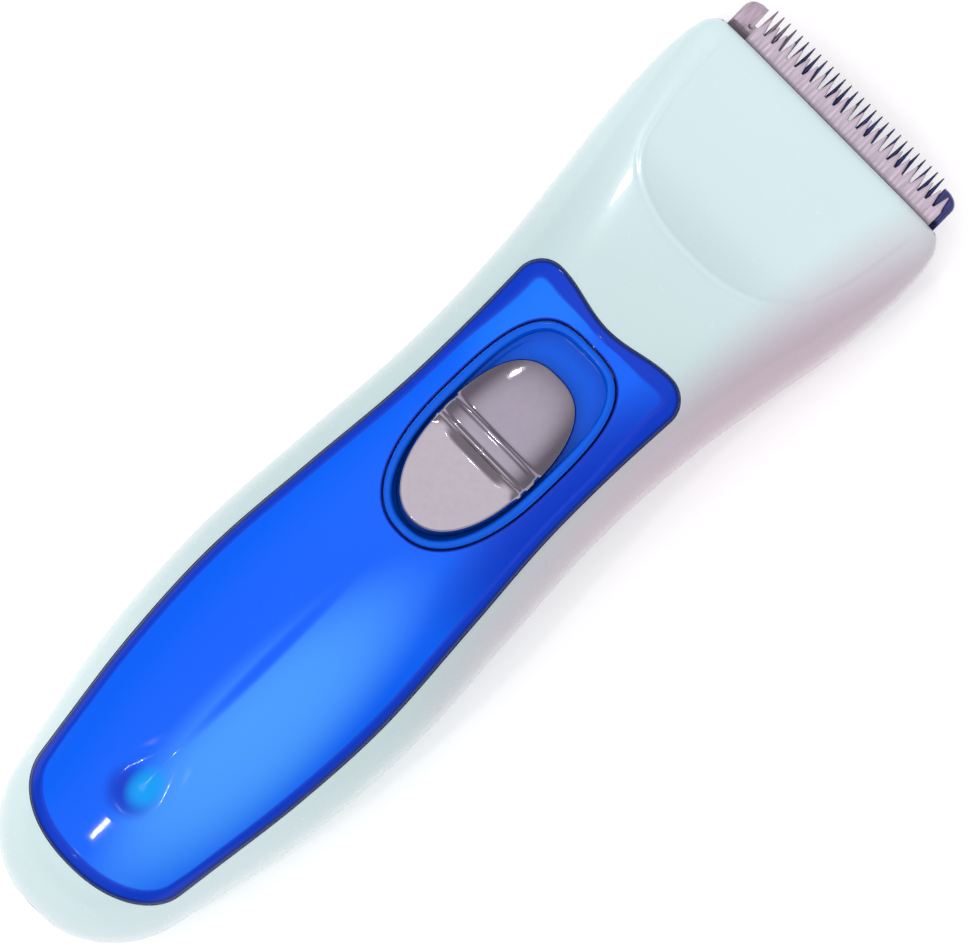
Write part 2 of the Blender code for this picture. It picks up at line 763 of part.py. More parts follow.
def blade_holder(frame):
    """The frame that snaps into the head: a hinge bar behind the comb and a rail over each end of it."""
    along, up = PIVOT_LOCAL
    rear = [
        (along + PIVOT_RADIUS * math.cos(math.radians(a)), up + PIVOT_RADIUS * math.sin(math.radians(a)))
        for a in range(90, 271, 30)
    ]
    profile = [*rear, (-16.2, up - PIVOT_RADIUS), (-16.2, 0.2), (-19.5, 0.6), (-19.5, up + PIVOT_RADIUS)]
    holder = from_bmesh("blade_holder", prism(profile, "X", -21.3, 21.3), white_plastic(), False)
    holder.parent = frame
    for side in (-1, 1):
        low, high = sorted((side * 15.4, side * 20.9))
        join(holder, box((low, -20.5, 0.3), (high, -4.6, 3.4)))
        low, high = sorted((side * 20, side * (COMB_HALF_WIDTH + 1.2)))
        join(holder, cylinder("X", PIVOT_LOCAL, 1.05, low, high, 12))
        cut(holder, cylinder("Z", (side * COMB_SCREW[0], COMB_SCREW[1]), 1.05, -2, 2.8, 12))
    return holder


def comb_screws(frame):
    for number, side in ((1, -1), (2, 1)):
        centre = (side * COMB_SCREW[0], COMB_SCREW[1])
        profile = [(-1.85, 1.2), (-1.65, 2.1), (-1.42, 2.1), (-1.4, 0.8), (2.4, 0.8)]
        screw = from_bmesh(f"comb_screw_{number}", turned(profile, centre, "Z", 14), steel())
        cut(screw, box((centre[0] - 1.4, -10.25, -2.5), (centre[0] + 1.4, -9.75, -1.6)))
        screw.parent = frame


def pressure_spring(frame):
    """A bent strip, held on the holder's rails, that keeps the cutter down on the comb."""
    thickness = 0.35
    crest = 4.5
    path = [(-20.6, 4.1), (-13.0, 4.1), (-9.6, crest), (9.6, crest), (13.0, 4.1), (20.6, 4.1)]
    outline = [*path, *((x, z + thickness) for x, z in reversed(path))]
    spring = from_bmesh("pressure_spring", prism(outline, "Y", -12.6, -9.8), steel(), False)
    spring.parent = frame
    join(spring, box((-5.5, -10.4, crest + 0.05), (5.5, -5.2, crest + thickness - 0.02)))
    return spring


def blade_set():
    frame = empty("blade_set_frame", BLADE_ORIGIN, BLADE_TILT)
    comb_blade(frame)
    cutter_blade(frame)
    cutter_carrier(frame)
    blade_holder(frame)
    comb_screws(frame)
    pressure_spring(frame)


# ---------------------------------------------------------------- motor and drive


def motor_outline(margin, sides=24):
    """The motor's section: a circle with its top and bottom cut flat."""
    flat = MOTOR_FLAT + margin
    rim = circle((0.0, 0.0), MOTOR_RADIUS + margin, sides)
    return [(x, MOTOR_Z + max(-flat, min(flat, z))) for x, z in rim]


def motor():
    axis = (0.0, MOTOR_Z)
    steel_can = material("motor_can", (0.55, 0.56, 0.58), 0.3, 1.0)
    front, rear = MOTOR_FRONT_Y, MOTOR_REAR_Y
    can = from_bmesh("motor_can", prism(motor_outline(0.0), "Y", rear + 1.2, front), steel_can)
    cut(can, prism(motor_outline(-0.8), "Y", rear - 1, front - 1.0))
    cut(can, cylinder("Y", axis, 3.0, front - 3, front + 2, 20))
    lid = prism(motor_outline(-0.2), "Y", rear - 1.0, rear + 0.9)
    end_cap = from_bmesh("motor_end_cap", lid, dark_plastic())
    join(end_cap, prism(motor_outline(-1.2), "Y", rear, rear + 3.0))
    cut(end_cap, cylinder("Y", axis, 1.6, rear - 3, rear + 6, 16))
    bearing = [(front - 2.6, 2.6), (front + 1.4, 2.6)]
    bronze = material("bronze", (0.60, 0.40, 0.20), 0.35, 1.0)
    bush = from_bmesh("motor_bearing", turned(bearing, axis, "Y", 20), bronze)
    cut(bush, cylinder("Y", axis, SHAFT_RADIUS + 0.15, front - 5, front + 5, 16))
    shaft = [(rear - 2.2, SHAFT_RADIUS), (front + 6.0, SHAFT_RADIUS)]
    from_bmesh("motor_shaft", turned(shaft, axis, "Y", 16), steel())
    armature()
    for name, low in (("motor_damper_rear", rear + 2.5), ("motor_damper_front", front - 5.5)):
        rubber = material("rubber", (0.02, 0.02, 0.02), 0.8)
        ring = from_bmesh(name, prism(motor_outline(1.4), "Y", low, low + 3.5), rubber)
        cut(ring, prism(motor_outline(GAP), "Y", low - 1, low + 5))
    for number, side in ((1, -1), (2, 1)):
        x = side * TERMINAL_X
        tab = box((x - 0.9, rear - 4.2, MOTOR_Z - 0.25), (x + 0.9, rear - 1.3, MOTOR_Z + 0.25))
        from_bmesh(f"motor_terminal_{number}", tab, steel(), False)


def armature():
    """Three wound poles on the shaft, as one turned stack with three winding slots cut into it."""
    axis = (0.0, MOTOR_Z)
    copper = material("copper", (0.72, 0.33, 0.14), 0.3, 1.0)
    stack = cylinder("Y", axis, 6.4, MOTOR_REAR_Y + 7, MOTOR_FRONT_Y - 6, 24)
    obj = from_bmesh("motor_armature", stack, copper)
    for k in range(3):
        angle = math.radians(90 + 120 * k)
        centre = (5.6 * math.cos(angle), MOTOR_Z + 5.6 * math.sin(angle))
        cut(obj, cylinder("Y", centre, 1.4, MOTOR_REAR_Y, MOTOR_FRONT_Y, 8))
    cut(obj, cylinder("Y", axis, SHAFT_RADIUS + 0.3, MOTOR_REAR_Y, MOTOR_FRONT_Y, 16))
    return obj


def motor_cradle():
    """A saddle on the rear shell that the motor's rubber rings sit in."""
    low_y, high_y = MOTOR_REAR_Y + 1.8, MOTOR_FRONT_Y - 1.2
    right = [(8.5, 5.4), (13.4, 9.2), (13.4, 15.0)]
    block = prism([*right, *((-x, z) for x, z in reversed(right))], "Y", low_y, high_y)
    cradle = from_bmesh("motor_cradle", block, white_plastic(), False)
    cut(cradle, prism(motor_outline(1.4 + GAP), "Y", low_y - 2, high_y + 2))
    return cut(cradle, box((-15, low_y + 5.5, 2), (15, high_y - 6.0, 12.0)))


def crank():
    """The eccentric on the motor shaft, with a hub, a balance flat and the pin that drives the cutter."""
    axis = (0.0, MOTOR_Z)
    front = MOTOR_FRONT_Y
    hub = [(front + 2.0, 3.2), (front + 3.4, 3.2), (front + 3.5, 4.6), (front + 7.2, 4.6)]
    body = from_bmesh("drive_crank", turned(hub, axis, "Y", 24), dark_plastic())
    cut(
        body,
        cylinder("Y", axis, SHAFT_RADIUS + 0.3, front, front + 6.3, 16),
        cylinder("Y", (CUTTER_THROW, MOTOR_Z), CRANK_PIN_RADIUS + 0.3, front + 6.6, front + 9, 14),
    )
    pin = [(front + 6.9, CRANK_PIN_RADIUS), (front + 15.7, CRANK_PIN_RADIUS), (front + 16.2, 0.6)]
    from_bmesh("crank_pin", turned(pin, (CUTTER_THROW, MOTOR_Z), "Y", 16), steel())


# ---------------------------------------------------------------- power


def batteries():
    label = material("cell_sleeve", (0.05, 0.35, 0.18), 0.35)
    front = CELL_REAR_Y + CELL_LENGTH
    for name, side in (("battery_cell_left", -1), ("battery_cell_right", 1)):
        profile = [
            (CELL_REAR_Y, CELL_RADIUS - 0.6),
            (CELL_REAR_Y + 0.6, CELL_RADIUS),
            (front - 1.6, CELL_RADIUS),
            (front - 1.0, CELL_RADIUS - 0.6),
            (front - 0.9, 2.6),
            (front, 2.6),
        ]
        from_bmesh(name, turned(profile, (side * CELL_X, CELL_Z), "Y", 20), label)
    behind, reach = CELL_REAR_Y - 0.3, CELL_X + 3
    link = box((-reach, behind - 0.4, CELL_Z - 2.5), (reach, behind, CELL_Z + 2.5))
    from_bmesh("battery_link", link, steel(), False)
    for name, side in (("battery_tab_left", -1), ("battery_tab_right", 1)):
        x = side * CELL_X
        strip = box((x - 2, front + 0.3, CELL_Z - 2), (x + 2, front + 0.7, CELL_Z + 8))
        tab = from_bmesh(name, strip, steel(), False)
        join(tab, box((x - 1.5, front + 0.35, CELL_Z + 7), (x + 1.5, front + 3.4, CELL_Z + 7.4)))


def circuit_board():
    green = material("board", (0.02, 0.20, 0.08), 0.5)
    top = BOARD_Z + BOARD_THICKNESS
    board = from_bmesh("circuit_board", box((-9.6, -65.0, BOARD_Z), (9.6, 17.5, top)), green, False)
    for number, (x, y) in enumerate(BOARD_SCREWS, 1):
        cut(board, cylinder("Z", (x, y), 1.2, BOARD_Z - 2, top + 2, 10))
        profile = screw_profile(BOARD_Z - GAP, top + 3.2, 1.7, 0.8)
        from_bmesh(f"board_screw_{number}", turned(profile, (x, y), "Z", 10), steel())
    charging_parts(top + GAP)
    slide_switch(top)


def charging_parts(foot):
    """The charge controller, its capacitor and the charge light, which stand on the board."""
    chip = box((-3, -34, foot), (3, -28, foot + 1.6))
    charge = from_bmesh("charge_controller", chip, dark_plastic(), False)
    charge.modifiers.new("edge", "BEVEL").width = 0.25 * MM
    silver = material("capacitor_can", (0.7, 0.7, 0.72), 0.25, 1.0)
    can = [(foot, 2.5), (foot + 4.3, 2.5), (foot + 4.7, 2.2)]
    from_bmesh("smoothing_capacitor", turned(can, (0.0, -18.0), "Z", 18), silver)
    flange = [(foot, 2.1), (foot + 0.9, 2.1), (foot + 0.91, 1.5)]
    dome = [(foot + 2.1, 1.5), (foot + 2.9, 1.1), (foot + 3.2, 0.4)]
    glow = material("led_resin", (0.75, 0.08, 0.05), 0.15)
    from_bmesh("charge_led", turned(flange + dome, (0.0, LED_Y), "Z", 16), glow)


def slide_switch(top):
    """The board's slide switch: a pressed steel body with a slot, and the knob that runs in it."""
    body = box((-3.4, STEM_Y - 5.0, top + 0.3), (3.4, STEM_Y + 5.0 + SWITCH_TRAVEL, top + 3.2))
    switch = from_bmesh("slide_switch_body", body, steel(), False)
    cut(switch, box((-1.2, STEM_Y - 1.6, top + 1.5), (1.2, STEM_Y + 1.6 + SWITCH_TRAVEL, top + 6)))
    knob = box((-0.9, STEM_Y - 1.1, top + 1.9), (0.9, STEM_Y + 1.1, top + 4.6))
    from_bmesh("slide_switch_knob", knob, dark_plastic(), False)


def light_guide():
    clear = material("clear_plastic", (0.85, 0.90, 0.95), 0.1)
    roof = top_height(0, LED_Y) - POCKET_DEPTH - 0.5
    profile = [(roof - 1.3, 2.2), (roof, 2.2)]
    from_bmesh("light_guide", turned(profile, (0.0, LED_Y), "Z", 16), clear)


def charging_socket():
    axis = (0.0, SOCKET_Z)
    face = TAIL_Y + 0.6
    body = box((-4.6, TAIL_Y + 5.0, SOCKET_Z - 4.2), (4.6, TAIL_Y + 13.6, SOCKET_Z + 4.2))
    socket = from_bmesh("charging_socket", body, dark_plastic(), False)
    join(socket, cylinder("Y", axis, 3.9, face, TAIL_Y + 6, 24))
    cut(socket, cylinder("Y", axis, 2.75, face - 2, TAIL_Y + 11, 20))
    pin = [(face + 1.0, 0.4), (face + 1.4, 0.8), (TAIL_Y + 10.6, 0.8)]
    from_bmesh("charging_socket_pin", turned(pin, axis, "Y", 12), steel())


def leads():
    red = material("lead_red", (0.6, 0.02, 0.02), 0.5)
    black = material("lead_black", (0.02, 0.02, 0.02), 0.5)
    front = CELL_REAR_Y + CELL_LENGTH
    board_under = BOARD_Z - 0.9
    rear = MOTOR_REAR_Y
    for name, side, finish in (("left", -1, black), ("right", 1, red)):
        x = side * CELL_X
        route = [
            (x, front + 2.6, CELL_Z + 8.3),
            (x + side * 0.3, front + 3.4, CELL_Z + 9.5),
            (x, front + 4.5, board_under),
        ]
        tube(f"battery_lead_{name}", route, 0.55, finish)
        route = [
            (side * TERMINAL_X, rear - 3.2, MOTOR_Z + 1.1),
            (side * 6.2, rear - 4.4, MOTOR_Z + 3.2),
            (side * 7.0, rear - 5.0, board_under),
        ]
        tube(f"motor_lead_{name}", route, 0.55, finish)


def build():
    clear_scene()
    front_shell()
    rear_shell()
    housing_screws()
    blue_panel()
    switch_seat()
    switch_button()
    button_stem()
    blade_set()
    motor()
    motor_cradle()
    crank()
    batteries()
    circuit_board()
    light_guide()
    charging_socket()
    leads()


build()
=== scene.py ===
"""Looks of the hair clipper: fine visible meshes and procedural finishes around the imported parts.

Lengths are written in millimetres and turned into metres by MM. +Y runs from the tail to the blade.
+Z is the switch side.
"""

import math

import bmesh
import bpy
import numpy as np
from mathutils import Matrix, Vector


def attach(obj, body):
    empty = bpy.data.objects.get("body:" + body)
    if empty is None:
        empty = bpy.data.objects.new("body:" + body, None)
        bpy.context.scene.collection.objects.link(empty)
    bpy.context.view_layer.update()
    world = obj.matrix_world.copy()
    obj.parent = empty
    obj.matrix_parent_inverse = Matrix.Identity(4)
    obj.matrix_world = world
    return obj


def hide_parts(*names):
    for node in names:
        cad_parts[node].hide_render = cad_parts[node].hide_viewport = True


MM = 0.001
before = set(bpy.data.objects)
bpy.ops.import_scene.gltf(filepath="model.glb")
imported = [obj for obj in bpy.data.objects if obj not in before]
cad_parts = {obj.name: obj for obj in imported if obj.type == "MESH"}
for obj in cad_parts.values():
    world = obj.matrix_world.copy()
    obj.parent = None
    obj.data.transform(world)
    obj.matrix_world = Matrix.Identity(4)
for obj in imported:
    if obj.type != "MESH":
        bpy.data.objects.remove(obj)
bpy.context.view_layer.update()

# The housing's shape, as in the CAD. SKIN keeps the finer mesh inside the CAD box.
SKIN = 0.1
TAIL_Y = -85.0
MOUTH_Y = 78.6
TAIL_ROUND = 14.0
TAIL_ROUND_POWER = 2.2
WALL = 2.4
GAP = 0.3
PARTING_END_Y = 54.6
HEAD_FLOOR_Z = 9.0
PARTING_TAIL_LIFT = 3.0
PARTING_TAIL_FADE = 24.0
# y, half width, height of the widest line, top, bottom
SECTIONS = (
    (-85.0, 14.2, 12.5, 26.5, -0.7),
    (-70.0, 16.9, 13.3, 30.4, -0.7),
    (-50.0, 20.9, 15.0, 34.3, -0.7),
    (-28.0, 22.4, 17.0, 36.3, 0.8),
    (-8.0, 21.2, 18.6, 36.6, 3.0),
    (12.0, 20.0, 19.0, 35.8, 3.2),
    (30.0, 20.7, 17.6, 33.8, -0.2),
    (44.0, 22.5, 14.8, 30.9, -0.4),
    (56.0, 24.3, 12.6, 26.8, 3.5),
    (66.0, 25.1, 12.4, 22.3, 6.8),
    (73.0, 24.9, 12.8, 18.9, 9.1),
    (76.6, 24.1, 13.2, 17.2, 10.3),
    (78.6, 22.6, 13.4, 16.2, 11.0),
)
# y, power above, power below
SECTION_POWERS = (
    (-85.0, 2.3, 2.4),
    (20.0, 2.3, 2.4),
    (44.0, 2.5, 3.5),
    (60.0, 2.9, 8.0),
    (78.6, 3.4, 9.0),
)
MOUTH_EDGE = 0.62
MOUTH_ROUND = 0.6
MOUTH_DROP = 0.5

# How finely the housing is drawn: points above and below its widest line, and steps along Y.
RING_ABOVE, RING_BELOW, ROOM_RING = 196, 84, 60
GRIP_END_Y, NECK_END_Y = 46.0, 49.0
GRIP_STEP, NECK_STEP, FACET_STEP = 1.6, 0.5, 0.28

FACET_TAIL_Y = 49.8
FACET_ROUND = 9.0
FACET_WIDTHS = ((49.8, 15.6), (56.0, 16.6), (65.4, 19.0), (78.6, 20.6))
FACET_BLEND = 0.1
# height, place across the facet's edge (positive is outside it) and spread of the two lines along the edge
CREASE_RIDGE = (0.13, 0.4, 0.27)
CREASE_GROOVE = (0.08, -0.35, 0.3)

PANEL_TAIL_Y = -75.3
PANEL_HEAD_Y = 35.3
PANEL_NOTCH = 1.7
PANEL_CORNER = 4.0
PANEL_TAIL_ROUND = 8.0
PANEL_WIDTHS = (
    (-75.3, 13.2),
    (-62.0, 15.0),
    (-46.0, 17.0),
    (-29.0, 17.8),
    (-10.0, 16.5),
    (6.0, 15.2),
    (20.0, 15.0),
    (35.3, 15.5),
)
POCKET_DEPTH = 1.3
# The pocket's edge from its floor up: distance outside the gap, height over the housing's surface
POCKET_EDGE = ((0.0, -POCKET_DEPTH), (0.0, -0.25), (0.03, -0.12), (0.12, 0.0), (0.2, 0.06))
# The panel's rim: distance inside the outline, height
PANEL_FOOT = 0.13
PANEL_EDGE = ((-0.08, 0.12), (0.04, 0.24), (0.24, 0.3), (0.55, 0.3))
# The raised band inside it: share of the band's width, height
PANEL_BAND = ((0.8, 0.3), (0.92, 0.27), (1.04, 0.17), (1.2, 0.08))
BAND_WIDTH = 1.25
BAND_INNER_SHARE = 1.35
# The edge of its hole for the seat: distance outside the gap, height
PANEL_HOLE_EDGE = ((0.3, 0.03), (0.12, -0.04), (0.02, -0.16), (0.0, -0.35), (0.0, GAP - POCKET_DEPTH))
PANEL_FACE = 0.05
# The teardrop hollow over the charge light, a shallow step and a bowl inside it: radius, length
DROP_STEP, DROP_STEP_DEPTH = (5.9, 15.0), 0.15
DROP_BOWL, DROP_BOWL_DEPTH = (3.5, 8.5), 0.55
GROOVE_SPREAD, GROOVE_DEPTH = 0.9, 0.07

# half width, tail end, head end, power at the tail end, power at the head end
SEAT_OVAL = (10.3, -7.6, 30.2, 2.3, 3.2)
TRACK_OVAL = (9.05, -6.5, 29.1, 2.35, 3.4)
BUTTON_OVAL = (8.7, -6.1, 24.1, 2.1, 2.6)
SEAT_DEPTH = 3.2
TRACK_DEPTH = 2.2
# The seat's rounded rim and the wall of its track: distance outside the oval, height over the housing
SEAT_RIM = (
    (0.12, -1.2),
    (0.12, 0.2),
    (0.06, 0.38),
    (-0.1, 0.52),
    (-0.35, 0.57),
    (-0.62, 0.54),
    (-0.8, 0.44),
)
TRACK_WALL = ((0.2, 0.3), (0.06, 0.1), (0.0, -0.2), (0.0, -1.7), (-0.1, -2.0), (-0.35, -2.16))
TRACK_FLOOR_SHARES = (0.93, 0.8, 0.6, 0.4, 0.2, 0.03)
STEM_SLOT_HALF_WIDTH, STEM_SLOT_HALF_LENGTH = 3.1, 3.5
BUTTON_CLEARANCE = 0.5
BUTTON_EDGE_LIFT, DOME_RISE, DOME_POWER = 0.35, 1.65, 3.6
SCOOP_RIM_RISE, SCOOP_DEPTH = 1.1, 0.6
SCOOP_HEAD_Y, SCOOP_TAIL_Y = 8.3, 6.3
# The two cross ridges: place along Y, spread
BUTTON_RIDGES = ((11.5, 0.5), (8.6, 0.45))
RIDGE_HEIGHT, SHELF_HEIGHT = 0.42, 0.2
STEM_Y = 9.0
SWITCH_TRAVEL = 4.6

BLADE_TILT = math.radians(18.0)
BLADE_ORIGIN = (78.6, 12.3)
CUTTER_THROW = 1.4
PIVOT_LOCAL = (-22.6, 0.6)
PIVOT_HOLE = 1.35
OPENING_SIDE_GAP = 0.42
OPENING_ROOF = 1.75
# Heights and places along the blades are in the blade set's own frame, with +Y towards the tips.
COMB_HALF_WIDTH = 21.48
COMB_TEETH, COMB_PITCH, COMB_ROOT_Y, COMB_TIP_Y = 28, 1.28, 2.5, 6.7
COMB_THICKNESS = 1.28
COMB_TOOTH_HALF_WIDTHS, CUTTER_TOOTH_HALF_WIDTHS = (0.42, 0.08), (0.62, 0.1)
GUARD_INNER, GUARD_CORNER, GUARD_LENGTH_SHARE = 18.4, 2.4, 0.76
CUTTER_HALF_WIDTH = 19.15
CUTTER_TEETH, CUTTER_PITCH, CUTTER_ROOT_Y, CUTTER_TIP_Y = 24, 1.6, 2.9, 5.3
CUTTER_FOOT, CUTTER_TOP, CUTTER_TIP_TOP = 0.3, 1.2, 0.62
CUTTER_TAB_HALF_WIDTH, CUTTER_TAB_TAIL_Y, CUTTER_TAB_HEAD_Y = 12, -9.5, -2.9

LED_Y = -60.0
LED_HOLE = 2.6
SOCKET_Z = 12.9
SOCKET_HOLE = 4.3
SCREW_POSTS = ((9.6, -71.0), (13.2, 13.5))
SCREW_RECESS = 2.2
POST_RADIUS = 3.0
SCREW_RADIUS = 1.0
SCREW_HEAD_RADIUS = 2.0
POST_TOP_GAP = 0.6

# The room is dim below HORIZON_END, the sine of an angle above the horizon, and brightest along ROOM_LEAN.
HORIZON_COLOUR = (0.30, 0.285, 0.30)
OVERHEAD_COLOUR = (1.0, 0.985, 1.0)
HORIZON_END = 0.3
ROOM_BRIGHTNESS = 1.65
ROOM_LEAN = (-0.05, 0.0, 1.0)
# The small soft lights: name, point looked at, direction from there, distance and size in metres, watts
GLINTS = (
    ("tail_glint", (-0.1, -67.8, 30.9), (-0.074, -0.482, 0.873), 0.9, (0.026, 0.048), 0.6),
    ("neck_glint", (-14, 50.8, 27.1), (-0.619, 0.485, 0.618), 0.8, (0.09, 0.05), 0.6),
)
FLOOR_HALF_SIZE = 3.0
FLOOR_Z = -0.0002

CAMERA_LEAN = (0.069, -0.0077)
CAMERA_AIM = (1.6, 7.1, 15.0)
CAMERA_DISTANCE = 1.0
CAMERA_ROLL = math.radians(44.42)
CAMERA_SENSOR, CAMERA_LENS = 36.0, 252.258


# ---------------------------------------------------------------- the housing's surfaces


def smooth_value(points, y, column):
    """A column of a table of sections, read at y on a smooth curve through its points."""
    table = np.array(points)
    places, values = table[:, 0], table[:, column]
    last = len(places) - 1
    y = np.clip(np.asarray(y, float), places[0], places[-1])
    i = np.clip(np.searchsorted(places, y) - 1, 0, last - 1)
    ends = np.arange(last + 1)
    low, high = np.maximum(ends - 1, 0), np.minimum(ends + 1, last)
    slopes = (values[high] - values[low]) / (places[high] - places[low])
    span = places[i + 1] - places[i]
    t = (y - places[i]) / span
    start = values[i] * (1 + 2 * t) * (1 - t) ** 2 + slopes[i] * span * t * (1 - t) ** 2
    return start + values[i + 1] * t * t * (3 - 2 * t) + slopes[i + 1] * span * t * t * (t - 1)


def end_rounding(y, end_y, length):
    away = np.clip((np.asarray(y, float) - end_y) / length, 0.0, 1.0)
    return (1.0 - (1.0 - away) ** TAIL_ROUND_POWER) ** (1.0 / TAIL_ROUND_POWER)


def section(y, inset=0.0):
    """(half width, widest height, top, bottom, power above, power below) of the housing at y."""
    share = end_rounding(y, TAIL_Y + inset, TAIL_ROUND - inset / 2)
    side = smooth_value(SECTIONS, y, 2)
    top = smooth_value(SECTIONS, y, 3) - inset
    bottom = smooth_value(SECTIONS, y, 4) + inset
    width = (smooth_value(SECTIONS, y, 1) - inset) * share
    above, below = smooth_value(SECTION_POWERS, y, 1), smooth_value(SECTION_POWERS, y, 2)
    return width, side, side + (top - side) * share, side + (bottom - side) * share, above, below


def top_height(x, y):
    width, side, top, _, power, _ = section(y)
    reach = np.minimum(np.abs(x) / np.maximum(width, 1e-6), 0.999)
    return side + (top - side) * (1.0 - reach**power) ** (1.0 / power)


def bottom_height(x, y):
    width, side, _, bottom, _, power = section(y)
    reach = np.minimum(np.abs(x) / np.maximum(width, 1e-6), 0.999)
    return np.maximum(0.0, side - (side - bottom) * (1.0 - reach**power) ** (1.0 / power))


def facet_height(y):
    """The facet's height, and behind its tail end a steep rise that takes it out of the body."""
    y = np.asarray(y, float)
    inside = np.maximum(y, FACET_TAIL_Y)
    width = smooth_value(FACET_WIDTHS, inside, 1) * end_rounding(inside, FACET_TAIL_Y, FACET_ROUND)
    return top_height(width, inside) + 0.9 * np.maximum(FACET_TAIL_Y - y, 0.0)


def parting_height(y):
    share = np.clip((np.asarray(y, float) - TAIL_Y) / PARTING_TAIL_FADE, 0.0, 1.0)
    return smooth_value(SECTIONS, y, 2) + PARTING_TAIL_LIFT * (1 - share) ** 2


def even_spacing(points, count):
    """An open line resampled at equal steps, without its last point."""
    steps = np.linalg.norm(np.diff(points, axis=0), axis=1)
    along = np.concatenate([[0.0], np.cumsum(steps)])
    wanted = np.linspace(0.0, along[-1], count + 1)[:-1]
    return np.stack([np.interp(wanted, along, points[:, k]) for k in range(points.shape[1])], 1)


def section_ring(y, inset, above_count, below_count):
    """One section, evenly spaced, from +X over the top to -X and back under."""
    width, side, top, bottom, above, below = (float(v) for v in section(y, inset))
    angle = np.linspace(0.0, math.pi, 721)
    c, s = np.cos(angle), np.sin(angle)
    s[[0, -1]] = 0.0
    x_up = np.sign(c) * np.abs(c) ** (2 / above) * width
    up = np.stack([x_up, side + s ** (2 / above) * (top - side)], 1)
    x_down = -np.sign(c) * np.abs(c) ** (2 / below) * width
    down = np.stack([x_down, np.maximum(side - s ** (2 / below) * (side - bottom), inset)], 1)
    ring = np.concatenate([even_spacing(up, above_count), even_spacing(down, below_count)])
    return np.stack([ring[:, 0], np.full(len(ring), float(y)), ring[:, 1]], 1)


def soft_minimum(a, b, blend):
    near = np.maximum(blend - np.abs(a - b), 0.0) / blend
    return np.minimum(a, b) - near * near * blend / 4


def smooth_step(low, high, value):
    t = np.clip((value - low) / (high - low), 0.0, 1.0)
    return t * t * (3 - 2 * t)


# ---------------------------------------------------------------- mesh helpers


def solid(name, rings, wrap=False):
    """A closed object through rings of equal point counts. It ends in flat faces, or joins up with wrap."""
    count = len(rings[0])
    points = np.concatenate(rings) * MM
    n = np.arange(count)
    faces = []
    last = len(rings) if wrap else len(rings) - 1
    for r in range(last):
        low, high = r * count, ((r + 1) % len(rings)) * count
        quads = np.stack([low + n, low + (n + 1) % count, high + (n + 1) % count, high + n], 1)
        faces.extend(quads.tolist())
    if not wrap:
        faces.append(list(range(count))[::-1])
        faces.append(list(range((len(rings) - 1) * count, len(rings) * count)))
    data = bpy.data.meshes.new(name)
    data.from_pydata(points.tolist(), [], faces)
    return from_mesh(name, data)


def from_mesh(name, data):
    bm = bmesh.new()
    bm.from_mesh(data)
    bmesh.ops.recalc_face_normals(bm, faces=bm.faces)
    bm.to_mesh(data)
    bm.free()
    obj = bpy.data.objects.new(name, data)
    bpy.context.scene.collection.objects.link(obj)
    return obj


def prism(name, outline, axis, low, high):
    """An outline swept along an axis. Its points are (y, z) for X, (x, z) for Y and (x, y) for Z."""
    points = np.array(outline, float)

    def ring(h):
        along = np.full(len(points), float(h))
        columns = [points[:, 0], points[:, 1]]
        columns.insert("XYZ".index(axis), along)
        return np.stack(columns, 1)

    return solid(name, [ring(low), ring(high)])


def circle(centre, radius, sides=40):
    angle = np.linspace(0, 2 * math.pi, sides, endpoint=False)
    return np.stack([centre[0] + radius * np.cos(angle), centre[1] + radius * np.sin(angle)], 1)


def carve(obj, tool, operation="DIFFERENCE"):
    """Applies a Boolean at once and removes the tool."""
    step = obj.modifiers.new("carve", "BOOLEAN")
    step.operation, step.solver, step.object = operation, "MANIFOLD", tool
    made = bpy.data.meshes.new_from_object(obj.evaluated_get(bpy.context.evaluated_depsgraph_get()))
    obj.modifiers.clear()
    old, obj.data = obj.data, made
    bpy.data.meshes.remove(old)
    bpy.data.objects.remove(tool)
    return obj


def drill(obj, axis, centre, radius, low, high):
    return carve(obj, prism("drill", circle(centre, radius), axis, low, high))


def shade(obj, degrees=32):
    obj.data.shade_smooth()
    obj.data.set_sharp_from_angle(angle=math.radians(degrees))
    return obj


def blade_place(obj):
    """Moves a mesh from the blade set's frame, in metres, to where the blade set is."""
    origin = Vector((0.0, BLADE_ORIGIN[0], BLADE_ORIGIN[1])) * MM
    obj.data.transform(Matrix.Translation(origin) @ Matrix.Rotation(BLADE_TILT, 4, "X"))
    return obj


def blade_to_world(along, up):
    c, s = math.cos(BLADE_TILT), math.sin(BLADE_TILT)
    return (BLADE_ORIGIN[0] + along * c - up * s, BLADE_ORIGIN[1] + along * s + up * c)


# ---------------------------------------------------------------- outlines


def oval_reach(shape, grow, directions):
    """Distance from the oval's middle to its edge along unit directions."""
    half_width, tail, head, tail_power, head_power = shape
    power = np.where(directions[:, 1] >= 0, head_power, tail_power)
    a, b = half_width + grow, (head - tail) / 2 + grow
    sides = (np.abs(directions[:, 0]) / a) ** power + (np.abs(directions[:, 1]) / b) ** power
    return sides ** (-1.0 / power)


def oval_ring(shape, grow, directions):
    middle = np.array([0.0, (shape[1] + shape[2]) / 2])
    return middle + directions * oval_reach(shape, grow, directions)[:, None]


def even_directions(shape, count):
    """Directions from the oval's middle that are evenly spaced along its edge."""
    angle = np.linspace(0, 2 * math.pi, 4001)
    directions = np.stack([np.cos(angle), np.sin(angle)], 1)
    middle = np.array([0.0, (shape[1] + shape[2]) / 2])
    points = even_spacing(oval_ring(shape, 0.0, directions), count) - middle
    return points / np.linalg.norm(points, axis=1)[:, None]


